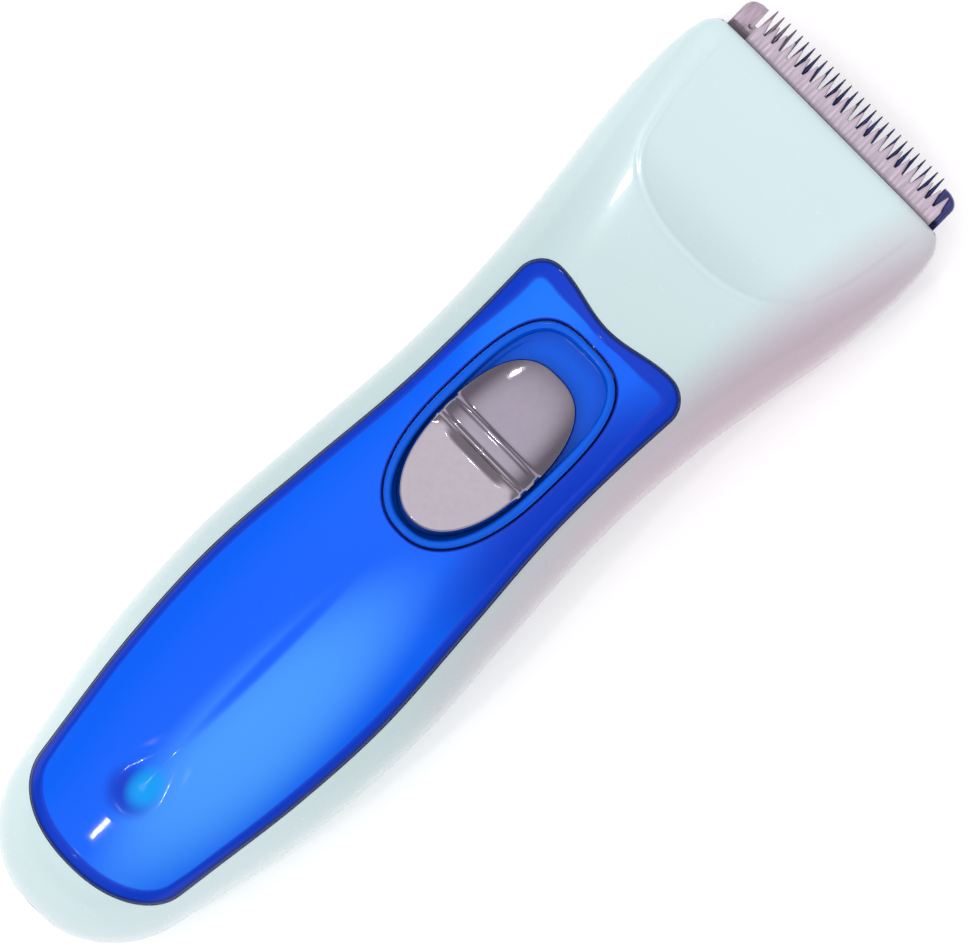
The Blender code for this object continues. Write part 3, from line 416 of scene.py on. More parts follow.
def panel_outline(count):
    side_end = PANEL_HEAD_Y - PANEL_CORNER
    turn = np.linspace(0, math.pi / 2, 60)
    tail = PANEL_TAIL_Y + PANEL_TAIL_ROUND * (1 - np.cos(turn))
    side = np.concatenate([tail, np.linspace(tail[-1], side_end, 200)[1:]])
    width = smooth_value(PANEL_WIDTHS, side, 1) * end_rounding(side, PANEL_TAIL_Y, PANEL_TAIL_ROUND)
    corner_x = width[-1] - PANEL_CORNER
    arc = np.linspace(0, math.pi / 2, 24)[1:]
    corner = np.stack([corner_x + PANEL_CORNER * np.cos(arc), side_end + PANEL_CORNER * np.sin(arc)], 1)
    x = np.linspace(corner_x, 0, 50)[1:]
    notch_y = PANEL_HEAD_Y - PANEL_NOTCH * (1 + np.cos(math.pi * x / corner_x)) / 2
    notch = np.stack([x, notch_y], 1)
    right = np.concatenate([np.stack([width, side], 1), corner, notch])
    left = (right * [-1, 1])[::-1]
    return even_spacing(np.concatenate([right, left[1:]]), count)


def moved_in(outline, distance):
    """A closed outline moved inwards, by one distance or one for each point."""
    tangent = np.roll(outline, -1, 0) - np.roll(outline, 1, 0)
    tangent /= np.linalg.norm(tangent, axis=1)[:, None]
    normal = np.stack([-tangent[:, 1], tangent[:, 0]], 1)
    return outline + normal * np.broadcast_to(distance, len(outline))[:, None]


def drawn_in(flat, middle_y, share):
    """A closed outline shrunk towards (0, middle_y)."""
    return flat * share + [0, middle_y * (1 - share)]


def on_top(flat, lift):
    """Flat points (x, y) put on the housing's upper surface, plus a lift."""
    return np.column_stack([flat, top_height(flat[:, 0], flat[:, 1]) + lift])


# ---------------------------------------------------------------- housing


def crease_relief(ring):
    """A fine raised line along the facet's edge, with a shallow groove inside it."""
    x, y = ring[:, 0], ring[:, 1]

    def step(at_x, at_y):
        return top_height(at_x, at_y) - facet_height(at_y)

    slope_x = (step(x + 0.1, y) - step(x - 0.1, y)) / 0.2
    slope_y = (step(x, y + 0.1) - step(x, y - 0.1)) / 0.2
    away = step(x, y) / np.maximum(np.hypot(slope_x, slope_y), 0.02)

    def line(height, place, spread):
        return height * np.exp(-(((away - place) / spread) ** 2))

    return (line(*CREASE_RIDGE) - line(*CREASE_GROOVE)) * smooth_step(MOUTH_Y - 1.0, MOUTH_Y - 5.0, y)


def outer_body(name):
    """The whole housing as one solid, with the facet across its head and a rounded edge at the mouth."""
    turn = np.linspace(0, math.pi / 2, 26)[1:]
    tail = TAIL_Y + SKIN + TAIL_ROUND * (1 - np.cos(turn))
    grip = np.arange(tail[-1] + GRIP_STEP, GRIP_END_Y, GRIP_STEP)
    neck = np.arange(GRIP_END_Y + 0.2, NECK_END_Y, NECK_STEP)
    head = np.arange(NECK_END_Y, MOUTH_Y - 0.8, FACET_STEP)
    places = [(y, SKIN) for y in (TAIL_Y + SKIN + 0.03, *tail, *grip, *neck, *head)]
    for degrees in (0, 22, 45, 67, 90):
        a = math.radians(degrees)
        y = MOUTH_Y - MOUTH_EDGE + MOUTH_ROUND * math.sin(a)
        places.append((y, SKIN + MOUTH_ROUND * (1 - math.cos(a))))
    rings = [section_ring(y, inset, RING_ABOVE, RING_BELOW) for y, inset in places]
    for ring in rings:
        if ring[0, 1] > FACET_TAIL_Y - 1.5:
            lid = facet_height(ring[:, 1]) - SKIN
            upper = ring[:, 2] > smooth_value(SECTIONS, ring[:, 1], 2)
            lowered = soft_minimum(ring[:, 2], lid, FACET_BLEND) + crease_relief(ring)
            ring[:, 2] = np.where(upper, lowered, ring[:, 2])
    for ring in rings:
        upper = ring[:, 2] > smooth_value(SECTIONS, ring[:, 1], 2) + 1.0
        drop = MOUTH_DROP * smooth_step(MOUTH_Y - MOUTH_EDGE, MOUTH_Y, ring[0, 1])
        ring[:, 2] -= np.where(upper, drop, 0.0)
    return solid(name, rings)


def inner_room():
    """The room inside the housing, flat under the facet and over the blade opening."""
    turn = np.linspace(0, math.pi / 2, 14)[1:]
    length = TAIL_ROUND - WALL / 2
    start, end = TAIL_Y + WALL, MOUTH_Y - 4
    tail = start + length * (1 - np.cos(turn))
    places = [start + 0.05, *tail, *np.linspace(tail[-1], end, 70)[1:]]
    rings = []
    for y in places:
        ring = section_ring(y, WALL, ROOM_RING, ROOM_RING)
        roof = float(facet_height(y) if y > FACET_TAIL_Y else top_height(0.0, y)) - WALL
        ring[:, 2] = np.minimum(ring[:, 2], roof)
        if y > PARTING_END_Y:
            low = ring[:, 2] < float(smooth_value(SECTIONS, y, 2)) - 0.5
            ring[:, 2] = np.where(low, np.minimum(ring[:, 2], HEAD_FLOOR_Z), ring[:, 2])
        rings.append(ring)
    return solid("room", rings)


def parting_line(lift):
    y = np.linspace(TAIL_Y - 5, PARTING_END_Y, 80)
    return np.stack([y, parting_height(y) + lift], 1).tolist()


def pocket_tool():
    """What makes the panel's pocket in the front shell, with a soft edge at the top."""
    outline = panel_outline(560)
    middle = (PANEL_TAIL_Y + PANEL_HEAD_Y) / 2
    floor_shares = (0.02, 0.2, 0.4, 0.6, 0.8, 0.95)
    rings = [on_top(drawn_in(outline, middle, share), -POCKET_DEPTH) for share in floor_shares]
    for outside, lift in (*POCKET_EDGE, (POCKET_EDGE[-1][0], 6.0)):
        rings.append(on_top(moved_in(outline, -GAP - outside), lift))
    rings.append(on_top(drawn_in(outline, middle, 0.5), 8.0))
    return solid("pocket", rings)


def front_shell():
    """The upper shell, with the panel's pocket and the openings for seat, light, socket and blades."""
    shell = carve(outer_body("front_shell_visible"), inner_room())
    above = [*parting_line(0.0), (PARTING_END_Y, -10), (100, -10), (100, 60), (TAIL_Y - 5, 60)]
    carve(shell, prism("keep", above, "X", -40, 40), "INTERSECT")
    side = COMB_HALF_WIDTH + OPENING_SIDE_GAP
    rear, front = blade_to_world(-12.0, OPENING_ROOF), blade_to_world(6.0, OPENING_ROOF)
    opening = [(PARTING_END_Y - 1, -5), (MOUTH_Y + 6, -5), front, rear, (PARTING_END_Y - 1, rear[1])]
    carve(shell, prism("opening", opening, "X", -side, side))
    carve(shell, pocket_tool())
    directions = even_directions(SEAT_OVAL, 160)
    carve(shell, prism("seat_hole", oval_ring(SEAT_OVAL, GAP, directions), "Z", 25, 45))
    drill(shell, "Z", (0.0, LED_Y), LED_HOLE, 24, 34)
    drill(shell, "Y", (0.0, SOCKET_Z), SOCKET_HOLE, TAIL_Y - 5, TAIL_Y + 8)
    pivot = blade_to_world(*PIVOT_LOCAL)
    for sign in (-1, 1):
        low, high = sorted((sign * (COMB_HALF_WIDTH - 1), sign * (COMB_HALF_WIDTH + 1.7)))
        drill(shell, "X", pivot, PIVOT_HOLE, low, high)
    return shade(shell)


def rear_shell():
    """The lower shell, with its screw posts and the recesses for their screws."""
    shell = carve(outer_body("rear_shell_visible"), inner_room())
    below = [*parting_line(-GAP), (PARTING_END_Y - GAP, -10), (TAIL_Y - 5, -10)]
    below = [(min(y, PARTING_END_Y - GAP), z) for y, z in below]
    carve(shell, prism("keep", below, "X", -40, 40), "INTERSECT")
    for x, y in SCREW_POSTS:
        for centre_x in (-x, x):
            top = float(parting_height(y)) - POST_TOP_GAP
            rim = circle((centre_x, y), POST_RADIUS)
            foot = np.column_stack([rim, bottom_height(rim[:, 0], rim[:, 1]) + WALL / 2])
            carve(shell, solid("post", [foot, np.column_stack([rim, np.full(len(rim), top)])]), "UNION")
            drill(shell, "Z", (centre_x, y), SCREW_RADIUS + GAP, -2, top + 2)
            seat = float(bottom_height(x + POST_RADIUS, y)) + SCREW_RECESS
            drill(shell, "Z", (centre_x, y), SCREW_HEAD_RADIUS + GAP, -2, seat)
    drill(shell, "Y", (0.0, SOCKET_Z), SOCKET_HOLE, TAIL_Y - 5, TAIL_Y + 8)
    return shade(shell)


# ---------------------------------------------------------------- blue panel, seat and button


def drop_distance(x, y, radius, length):
    """Distance to a teardrop's edge, negative inside. Its round end is at the origin."""
    x = np.abs(x)
    b = radius / length
    a = math.sqrt(1 - b * b)
    k = -x * b + y * a
    inside_round = np.hypot(x, y) - radius
    beyond_point = np.hypot(x, y - length)
    beside = x * a + y * b - radius
    return np.where(k < 0, inside_round, np.where(k > a * length, beyond_point, beside))


def panel_relief(flat):
    """Height of the panel's face over the housing's surface, with the teardrop hollow and its groove."""
    x, y = flat[:, 0], flat[:, 1] - LED_Y
    step = DROP_STEP_DEPTH * smooth_step(0.7, -1.3, drop_distance(x, y, *DROP_STEP))
    bowl = DROP_BOWL_DEPTH * smooth_step(0.6, -3.0, drop_distance(x, y + 0.2, *DROP_BOWL))
    fade = smooth_step(14.0, 19.0, y) * smooth_step(46.0, 26.0, y)
    groove = GROOVE_DEPTH * np.exp(-((x / GROOVE_SPREAD) ** 2)) * fade
    return PANEL_FACE - step - bowl - groove


def band_width(outline):
    """Width of the band along the panel's rim, wider at the head's corners and at the tail."""
    x, y = np.abs(outline[:, 0]), outline[:, 1]
    corner = smooth_step(16.0, 30.0, y) * smooth_step(2.0, 9.0, x)
    return BAND_WIDTH + 0.95 * corner + 0.35 * smooth_step(-62.0, -72.0, y)


def blue_panel():
    """The panel, as rings from its foot over the rim and the face to the hole for the seat.

    The attribute "rim", which the finish reads, is near 0 at the outer edge and round the hole, about 2 on
    the band, and 3 or more on the face.
    """
    outline = panel_outline(640)
    band = band_width(outline)
    rings, rim = [], []

    def add(flat, lift, place):
        rings.append(on_top(flat, lift))
        rim.append(place)

    for lift in (GAP - POCKET_DEPTH, -0.05):
        add(moved_in(outline, -PANEL_FOOT), lift, 0.0)
    for inset, lift in PANEL_EDGE:
        add(moved_in(outline, inset), lift, max(inset, 0.0))
    for share, lift in PANEL_BAND:
        add(moved_in(outline, band * share), lift, share * 2.0)
    start = moved_in(outline, band * BAND_INNER_SHARE)
    away = start - np.array([0.0, (SEAT_OVAL[1] + SEAT_OVAL[2]) / 2])
    directions = away / np.linalg.norm(away, axis=1)[:, None]
    hole = oval_ring(SEAT_OVAL, GAP + 0.55, directions)
    # From the band to the hole, with the rings closest where the hollow lies.
    stretches = ((0, 0.08, 5), (0.08, 0.3, 56), (0.3, 0.5, 24), (0.5, 1.0, 18))
    shares = [0.0, *np.concatenate([np.linspace(*stretch)[1:] for stretch in stretches])]
    for share in shares:
        flat = start + (hole - start) * share
        add(flat, panel_relief(flat), 3.0 + 10 * share)
    for outside, lift in PANEL_HOLE_EDGE:
        add(oval_ring(SEAT_OVAL, GAP + outside, directions), lift, outside * 2)
    panel = solid("blue_panel_visible", rings, wrap=True)
    values = np.repeat(np.array(rim, np.float32), len(outline))
    panel.data.attributes.new("rim", "FLOAT", "POINT").data.foreach_set("value", values)
    return shade(panel, 50)


def switch_seat():
    directions = even_directions(SEAT_OVAL, 240)
    middle = (SEAT_OVAL[1] + SEAT_OVAL[2]) / 2
    oval = oval_ring(SEAT_OVAL, 0.0, directions)
    rings = [on_top(drawn_in(oval, middle, 0.02), -SEAT_DEPTH), on_top(oval, -SEAT_DEPTH)]
    for shape, profile in ((SEAT_OVAL, SEAT_RIM), (TRACK_OVAL, TRACK_WALL)):
        for outside, lift in profile:
            rings.append(on_top(oval_ring(shape, outside, directions), lift))
    track = oval_ring(TRACK_OVAL, 0.0, directions)
    for share in TRACK_FLOOR_SHARES:
        rings.append(on_top(drawn_in(track, middle, share), -TRACK_DEPTH))
    seat = solid("switch_seat_visible", rings)
    side, tail = STEM_SLOT_HALF_WIDTH, STEM_Y - STEM_SLOT_HALF_LENGTH
    head = STEM_Y + STEM_SLOT_HALF_LENGTH + SWITCH_TRAVEL
    slot = [(-side, tail), (side, tail), (side, head), (-side, head)]
    carve(seat, prism("slot", slot, "Z", 25, 40))
    return shade(seat, 40)


def button_relief(flat, share):
    """Height of the button's face: a low dome, two fine cross ridges and the finger scoop behind them."""
    y = flat[:, 1]
    edge = smooth_step(1.0, 0.93, share)
    dome = BUTTON_EDGE_LIFT + DOME_RISE * (1 - share**DOME_POWER)
    bowl = BUTTON_EDGE_LIFT + SCOOP_RIM_RISE * edge - SCOOP_DEPTH * smooth_step(0.93, 0.5, share)
    scooped = smooth_step(SCOOP_HEAD_Y, SCOOP_TAIL_Y, y)
    ridges = RIDGE_HEIGHT * sum(np.exp(-(((y - place) / spread) ** 2)) for place, spread in BUTTON_RIDGES)
    shelf = SHELF_HEIGHT * smooth_step(7.9, 8.8, y) * smooth_step(12.2, 11.2, y)
    return dome * (1 - scooped) + bowl * scooped + (ridges + shelf) * edge


def switch_button():
    directions = even_directions(BUTTON_OVAL, 320)
    middle = (BUTTON_OVAL[1] + BUTTON_OVAL[2]) / 2
    foot = BUTTON_CLEARANCE - TRACK_DEPTH
    edge = oval_ring(BUTTON_OVAL, 0.0, directions)
    rings = [on_top(drawn_in(edge, middle, 0.03), foot), on_top(edge, foot), on_top(edge, 0.0)]
    for outside, lift in ((-0.03, 0.14), (-0.12, 0.25)):
        rings.append(on_top(oval_ring(BUTTON_OVAL, outside, directions), lift))
    for share in np.concatenate([np.linspace(0.985, 0.85, 24), np.linspace(0.84, 0.02, 70)]):
        flat = drawn_in(edge, middle, share)
        rings.append(on_top(flat, button_relief(flat, share)))
    return shade(solid("switch_button_visible", rings), 60)


# ---------------------------------------------------------------- blades


def toothed_plate(name, lefts, rights, ys, root, top, bottom, columns=6, end_share=1.0):
    """A plate with teeth along its front edge, as one closed mesh.

    lefts and rights give each tooth's two sides at each of ys, and root is the row where the teeth part.
    top and bottom give heights from (tooth number, y, place across the tooth from -1 to 1).
    """
    teeth, rows = lefts.shape
    points = []
    for height in (top, bottom):
        for k in range(teeth):
            for r in range(rows):
                for j in range(columns + 1):
                    u = 2 * j / columns - 1
                    x = lefts[k, r] + (rights[k, r] - lefts[k, r]) * j / columns
                    short = end_share if k in (0, teeth - 1) and r > root else 1.0
                    y = ys[root] + (ys[r] - ys[root]) * short
                    points.append((x * MM, y * MM, height(k, ys[r], u) * MM))

    def at(face, k, r, j):
        return ((face * teeth + k) * rows + r) * (columns + 1) + j

    def cell(face, k, r, j):
        return (at(face, k, r, j), at(face, k, r, j + 1), at(face, k, r + 1, j + 1), at(face, k, r + 1, j))

    faces = []
    for k in range(teeth):
        for r in range(rows - 1):
            for face in (0, 1):
                faces.extend(cell(face, k, r, j) for j in range(columns))
                if r < root and k + 1 < teeth:
                    a, b = at(face, k, r, columns), at(face, k + 1, r, 0)
                    faces.append((a, b, at(face, k + 1, r + 1, 0), at(face, k, r + 1, columns)))
            for j, edge in ((0, 0), (columns, teeth - 1)):
                if r >= root or k == edge:
                    faces.append((at(0, k, r, j), at(0, k, r + 1, j), at(1, k, r + 1, j), at(1, k, r, j)))
        for j in range(columns):
            for r in (0, rows - 1):
                faces.append((at(0, k, r, j), at(0, k, r, j + 1), at(1, k, r, j + 1), at(1, k, r, j)))
        if k + 1 < teeth:
            for r in (0, root):
                a, b = at(0, k, r, columns), at(0, k + 1, r, 0)
                faces.append((a, b, at(1, k + 1, r, 0), at(1, k, r, columns)))
    data = bpy.data.meshes.new(name)
    data.from_pydata(points, [], faces)
    return from_mesh(name, data)


def cutter_blade():
    ys = [-3.2, -1.6, -0.6, 0.2, 1.0, 2.0, CUTTER_ROOT_Y, 3.4, 4.0, 4.6, 5.0, CUTTER_TIP_Y]
    root = ys.index(CUTTER_ROOT_Y)
    half = np.interp(ys, [CUTTER_ROOT_Y, CUTTER_TIP_Y], CUTTER_TOOTH_HALF_WIDTHS)
    centres = CUTTER_THROW + (np.arange(CUTTER_TEETH) - (CUTTER_TEETH - 1) / 2) * CUTTER_PITCH
    lefts, rights = centres[:, None] - half, centres[:, None] + half
    lefts[0, : root + 1] = CUTTER_THROW - CUTTER_HALF_WIDTH
    rights[-1, : root + 1] = CUTTER_THROW + CUTTER_HALF_WIDTH

    def top(k, y, u):
        thickness = float(np.interp(y, [2.6, CUTTER_TIP_Y], [CUTTER_TOP, CUTTER_TIP_TOP]))
        rounding = 0.13 * abs(u) ** 1.7 * float(smooth_step(-1.8, 1.2, y))
        return thickness - rounding * min(1.0, (5.8 - y) / 2)

    def bottom(k, y, u):
        return CUTTER_FOOT

    cutter = toothed_plate("cutter_blade_visible", lefts, rights, ys, root, top, bottom)
    low, high = CUTTER_THROW - CUTTER_TAB_HALF_WIDTH, CUTTER_THROW + CUTTER_TAB_HALF_WIDTH
    tail, head = CUTTER_TAB_TAIL_Y, CUTTER_TAB_HEAD_Y
    tab = [(low, tail), (high, tail), (high, head), (low, head)]
    carve(cutter, prism("tab", tab, "Z", 0.35, 1.1), "UNION")
    for sign in (-1, 1):
        drill(cutter, "Z", (CUTTER_THROW + sign * 7.0, -7.0), 1.0, -1, 2)
    return shade(blade_place(cutter), 28)


def comb_blade():
    ys = [-15.8, -12.0, -8.0, -4.0, -1.0, 0.5, 1.5, COMB_ROOT_Y]
    ys += [2.9, 3.5, 4.25, 4.7, 5.2, 5.7, 6.1, 6.4, 6.6, 6.69]
    root = ys.index(COMB_ROOT_Y)
    y = np.array(ys)
    half = np.interp(y, [COMB_ROOT_Y, COMB_TIP_Y], COMB_TOOTH_HALF_WIDTHS)
    centres = (np.arange(COMB_TEETH) - (COMB_TEETH - 1) / 2) * COMB_PITCH
    reach = np.clip(y - (COMB_TIP_Y - GUARD_CORNER), 0.0, GUARD_CORNER)
    outer = COMB_HALF_WIDTH - GUARD_CORNER + np.sqrt(GUARD_CORNER**2 - reach**2)
    inner = np.full(len(y), GUARD_INNER)
    lefts = np.vstack([-outer, centres[:, None] - half, inner])
    rights = np.vstack([-inner, centres[:, None] + half, outer])

    def is_guard(k):
        return k in (0, COMB_TEETH + 1)

    def between_root_and_tip(y, at_root, at_tip):
        return float(np.interp(y, [COMB_ROOT_Y, COMB_TIP_Y], [at_root, at_tip]))

    def rounding(y, u):
        return 0.1 * abs(u) ** 2 * float(smooth_step(1.5, 3.5, y))

    def top(k, y, u):
        if is_guard(k):
            return -0.06 - 0.12 * float(smooth_step(5.6, COMB_TIP_Y, y))
        return between_root_and_tip(y, 0.0, -0.15) - rounding(y, u)

    def bottom(k, y, u):
        if is_guard(k):
            return -COMB_THICKNESS + 0.3 * float(smooth_step(4.6, COMB_TIP_Y, y))
        return between_root_and_tip(y, -COMB_THICKNESS, -0.72) + rounding(y, u)

    name = "comb_blade_visible"
    comb = toothed_plate(name, lefts, rights, ys, root, top, bottom, end_share=GUARD_LENGTH_SHARE)
    for sign in (-1, 1):
        groove = [(18.0, 0.7), (21.0, 0.7), (21.2, 1.0), (21.0, 1.35), (18.0, 1.35)]
        carve(comb, prism("groove", [(sign * x, y) for x, y in groove], "Z", -0.6, 1))
        drill(comb, "Z", (sign * 18.6, 2.3), 0.42, -0.7, 1)
        drill(comb, "Z", (sign * 18.3, -10.0), 1.4, -4, 2)
    return shade(blade_place(comb), 30)


# ---------------------------------------------------------------- finishes


# How grinding marks are stretched: not at all, along Y, or along X
EVEN, ALONG, ACROSS = (1, 1, 1), (4.0, 0.3, 1.0), (0.3, 4.0, 1.0)


def rgba(colour):
    return (*colour, 1.0)


class Finish:
    """A Principled material with a few procedural layers, built step by step."""

    def __init__(self, name, roughness, metallic=0.0, **sockets):
        self.material = bpy.data.materials.new(name)
        self.material.use_nodes = True
        self.tree = self.material.node_tree
        self.shader = self.tree.nodes["Principled BSDF"]
        self.shader.inputs["Roughness"].default_value = roughness
        self.shader.inputs["Metallic"].default_value = metallic
        for socket, value in sockets.items():
            self.shader.inputs[socket.replace("_", " ")].default_value = value
        self.where = self.tree.nodes.new("ShaderNodeTexCoord").outputs["Object"]

    def link(self, output, target):
        self.tree.links.new(output, target)

    def noise(self, scale, detail=4.0, stretch=(1, 1, 1)):
        mapping = self.tree.nodes.new("ShaderNodeMapping")
        mapping.inputs["Scale"].default_value = stretch
        texture = self.tree.nodes.new("ShaderNodeTexNoise")
        texture.inputs["Scale"].default_value = scale
        texture.inputs["Detail"].default_value = detail
        self.link(self.where, mapping.inputs["Vector"])
        self.link(mapping.outputs["Vector"], texture.inputs["Vector"])
        return texture.outputs["Fac"]

    def along(self, axis):
        split = self.tree.nodes.new("ShaderNodeSeparateXYZ")
        self.link(self.where, split.inputs["Vector"])
        return split.outputs[axis]

    def patch(self, centre, reach):
        """A soft oval on the upper face: 1 at its centre, 0 at its reach."""
        spread = []
        for axis, middle, half in (("X", centre[0], reach[0]), ("Y", centre[1], reach[1])):
            low, high = (middle - half) * MM, (middle + half) * MM
            away = self.remap(self.along(axis), low, high, -1.0, 1.0)
            square = self.tree.nodes.new("ShaderNodeMath")
            square.operation = "MULTIPLY"
            self.link(away, square.inputs[0])
            self.link(away, square.inputs[1])
            spread.append(square.outputs["Value"])
        total = self.tree.nodes.new("ShaderNodeMath")
        total.operation = "ADD"
        self.link(spread[0], total.inputs[0])
        self.link(spread[1], total.inputs[1])
        return self.remap(total.outputs["Value"], 0.0, 1.0, 1.0, 0.0, smooth=True)

    def remap(self, value, low, high, to_low=0.0, to_high=1.0, smooth=False):
        node = self.tree.nodes.new("ShaderNodeMapRange")
        node.interpolation_type = "SMOOTHSTEP" if smooth else "LINEAR"
        self.link(value, node.inputs["Value"])
        limits = {"From Min": low, "From Max": high, "To Min": to_low, "To Max": to_high}
        for socket, number in limits.items():
            node.inputs[socket].default_value = number
        return node.outputs["Result"]

    def mix(self, factor, first, second):
        """Blends two colours, each of which may be a fixed one or another layer."""
        node = self.tree.nodes.new("ShaderNodeMix")
        node.data_type = "RGBA"
        self.link(factor, node.inputs["Factor"])
        for name, colour in (("A", first), ("B", second)):
            socket = [s for s in node.inputs if s.name == name and s.type == "RGBA"][0]
            if isinstance(colour, tuple):
                socket.default_value = rgba(colour)
            else:
                self.link(colour, socket)
        return [s for s in node.outputs if s.type == "RGBA"][0]

    def colour(self, output):
        self.link(output, self.shader.inputs["Base Color"])
        return self

    def roughness(self, output):
        self.link(output, self.shader.inputs["Roughness"])
        return self

    def bump(self, output, strength, distance=0.0001):
        node = self.tree.nodes.new("ShaderNodeBump")
        node.inputs["Strength"].default_value = strength
        node.inputs["Distance"].default_value = distance
        self.link(output, node.inputs["Height"])
        self.link(node.outputs["Normal"], self.shader.inputs["Normal"])
        return self


def moulded(name, colour, other, roughness, spread, bump, **sockets):
    """Moulded plastic: a faint flow of tone, uneven gloss and a fine texture."""
    made = Finish(name, roughness, **sockets)
    flow = made.noise(70.0, 3.0, (1.0, 0.4, 1.0))
    made.colour(made.mix(made.remap(flow, 0.35, 0.65), colour, other))
    made.roughness(made.remap(made.noise(900.0), 0.3, 0.7, roughness - spread, roughness + spread))
    return made.bump(made.noise(2600.0), bump).material


def ground_metal(name, colour, other, roughness, stretch, bump):
    """Metal with fine grinding marks that run one way."""
    made = Finish(name, roughness, 1.0)
    marks = made.noise(900.0, 6.0, stretch)
    made.colour(made.mix(made.remap(marks, 0.3, 0.7), colour, other))
    made.roughness(made.remap(marks, 0.3, 0.7, roughness - 0.06, roughness + 0.08))
    return made.bump(marks, bump, 0.00004).material


def pearl_finish():
    """Pale mint plastic, a little greyer round the waist, with a rosy painted shade on the right flank."""
    mint, grey = (0.565, 0.73, 0.72), (0.555, 0.69, 0.71)
    # The second colour here is the rosy painted shade for the right flank.
    waist, painted_rose_shade = (0.45, 0.585, 0.585), (0.47, 0.36, 0.42)
    made = Finish("pearl_plastic", 0.24, Coat_Weight=0.35, Coat_Roughness=0.02, Specular_IOR_Level=0.35)
    flow = made.mix(made.remap(made.noise(22.0, 2.0), 0.3, 0.7), mint, grey)
    flow = made.mix(made.patch((0.0, 2.0), (70.0, 64.0)), flow, waist)
    # Painted shade: a rosy patch over the right flank.
    made.colour(made.mix(made.patch((27.0, 32.0), (17.0, 72.0)), flow, painted_rose_shade))
    made.roughness(made.remap(made.noise(1500.0), 0.3, 0.7, 0.2, 0.28))
    return made.bump(made.noise(2200.0, 1.0), 0.008).material


def glossy_blue(name):
    """The gloss and fine texture that the panel and the seat share. Its colour is set by the caller."""
    made = Finish(name, 0.12, Coat_Weight=0.12, Coat_Roughness=0.03, Specular_IOR_Level=0.06)
    made.roughness(made.remap(made.noise(1200.0), 0.3, 0.7, 0.09, 0.15))
    return made.bump(made.noise(3600.0, 2.0), 0.02)


def panel_finish():
    """The panel's blue, with a deeper blue band along its rim, painted shade along its outer edge and round
    its hole, and patches of painted light, reflection and shade on its face.
    """
    # The third colour is a painted reflection; the lighter tone serves both the random cloud and a patch of
    # painted light.
    base, light, painted_reflection = (0.0, 0.097, 0.79), (0.006, 0.155, 0.83), (0.05, 0.275, 0.84)
    # The first colour is a painted highlight, the last is painted shade, and the band colour is both the
    # rim band's deeper blue and painted shade on the face.
    painted_highlight, band, dark = (0.0, 0.29, 0.78), (0.001, 0.036, 0.48), (0.002, 0.018, 0.19)
    made = glossy_blue("blue_plastic")
    cloud = made.remap(made.noise(16.0, 1.0, (1, 0.5, 1)), 0.35, 0.7, 0.0, 0.35)
    flow = made.mix(cloud, base, light)
    patches = (
        # a painted reflection over the right of the tail half
        ((6.5, -43.0), (10.5, 38.0), painted_reflection),
        # painted shade on the right of the head half
        ((14.0, 12.0), (9.0, 30.0), band),
        # painted light on the left near the head end
        ((-9.0, 28.0), (10.0, 15.0), light),
        # base blue down the middle line, where the painted reflection stops, leaving a darker painted line
        # along the groove
        ((0.0, -32.0), (1.3, 22.0), base),
        # painted shade round the teardrop hollow
        ((-0.8, -61.5), (4.6, 4.6), band),
        # a painted highlight in the hollow
        ((0.5, -59.6), (3.2, 4.2), painted_highlight),
    )
    for centre, reach, tone in patches:
        flow = made.mix(made.patch(centre, reach), flow, tone)
    attribute = made.tree.nodes.new("ShaderNodeAttribute")
    attribute.attribute_name = "rim"
    rim = attribute.outputs["Fac"]
    inner = made.mix(made.remap(rim, 2.0, 2.9, smooth=True), band, flow)
    # Painted shade: near-black navy along the outer edge and round the hole for the seat.
    return made.colour(made.mix(made.remap(rim, 0.2, 0.55, smooth=True), dark, inner)).material


def seat_finish():
    """An even blue, a little deeper than the panel's."""
    made = glossy_blue("blue_seat")
    cloud = made.remap(made.noise(16.0, 1.0, (1, 0.5, 1)), 0.35, 0.7)
    return made.colour(made.mix(cloud, (0.0, 0.0915, 0.638), (0.0, 0.0925, 0.642))).material


def chrome_finish():
    """Mirror plating, with painted shade making the half of the button nearer the head a little darker."""
    made = Finish("chrome_plate", 0.1, 1.0)
    haze = made.noise(900.0, 6.0)
    tail = made.mix(made.remap(haze, 0.3, 0.7), (0.33, 0.30, 0.34), (0.315, 0.285, 0.325))
    # The head half's darker tones are painted shade.
    head = made.mix(made.remap(haze, 0.3, 0.7), (0.25, 0.225, 0.275), (0.24, 0.215, 0.265))
    made.colour(made.mix(made.remap(made.along("Y"), 7.5 * MM, 10.5 * MM, smooth=True), tail, head))
    made.roughness(made.remap(haze, 0.3, 0.7, 0.05, 0.16))
    return made.bump(haze, 0.01, 0.00004).material


def comb_finish():
    """Steel with a painted reflection across it, pale mauve towards -X and dark navy towards +X, with
    grinding marks along the teeth.
    """
    made = Finish("comb_steel", 0.3, 1.0)
    marks = made.noise(900.0, 6.0, ALONG)
    # The pale and navy tones are the two ends of a painted reflection.
    painted_reflection = made.mix(made.remap(marks, 0.3, 0.7), (0.31, 0.25, 0.30), (0.26, 0.21, 0.25))
    navy = made.mix(made.remap(marks, 0.3, 0.7), (0.045, 0.05, 0.16), (0.03, 0.03, 0.08))
    # The blend along X is the painted reflection.
    made.colour(made.mix(made.remap(made.along("X"), -18.5 * MM, -9.0 * MM, smooth=True), painted_reflection, navy))
    made.roughness(made.remap(marks, 0.3, 0.7, 0.36, 0.5))
    return made.bump(marks, 0.15, 0.00004).material


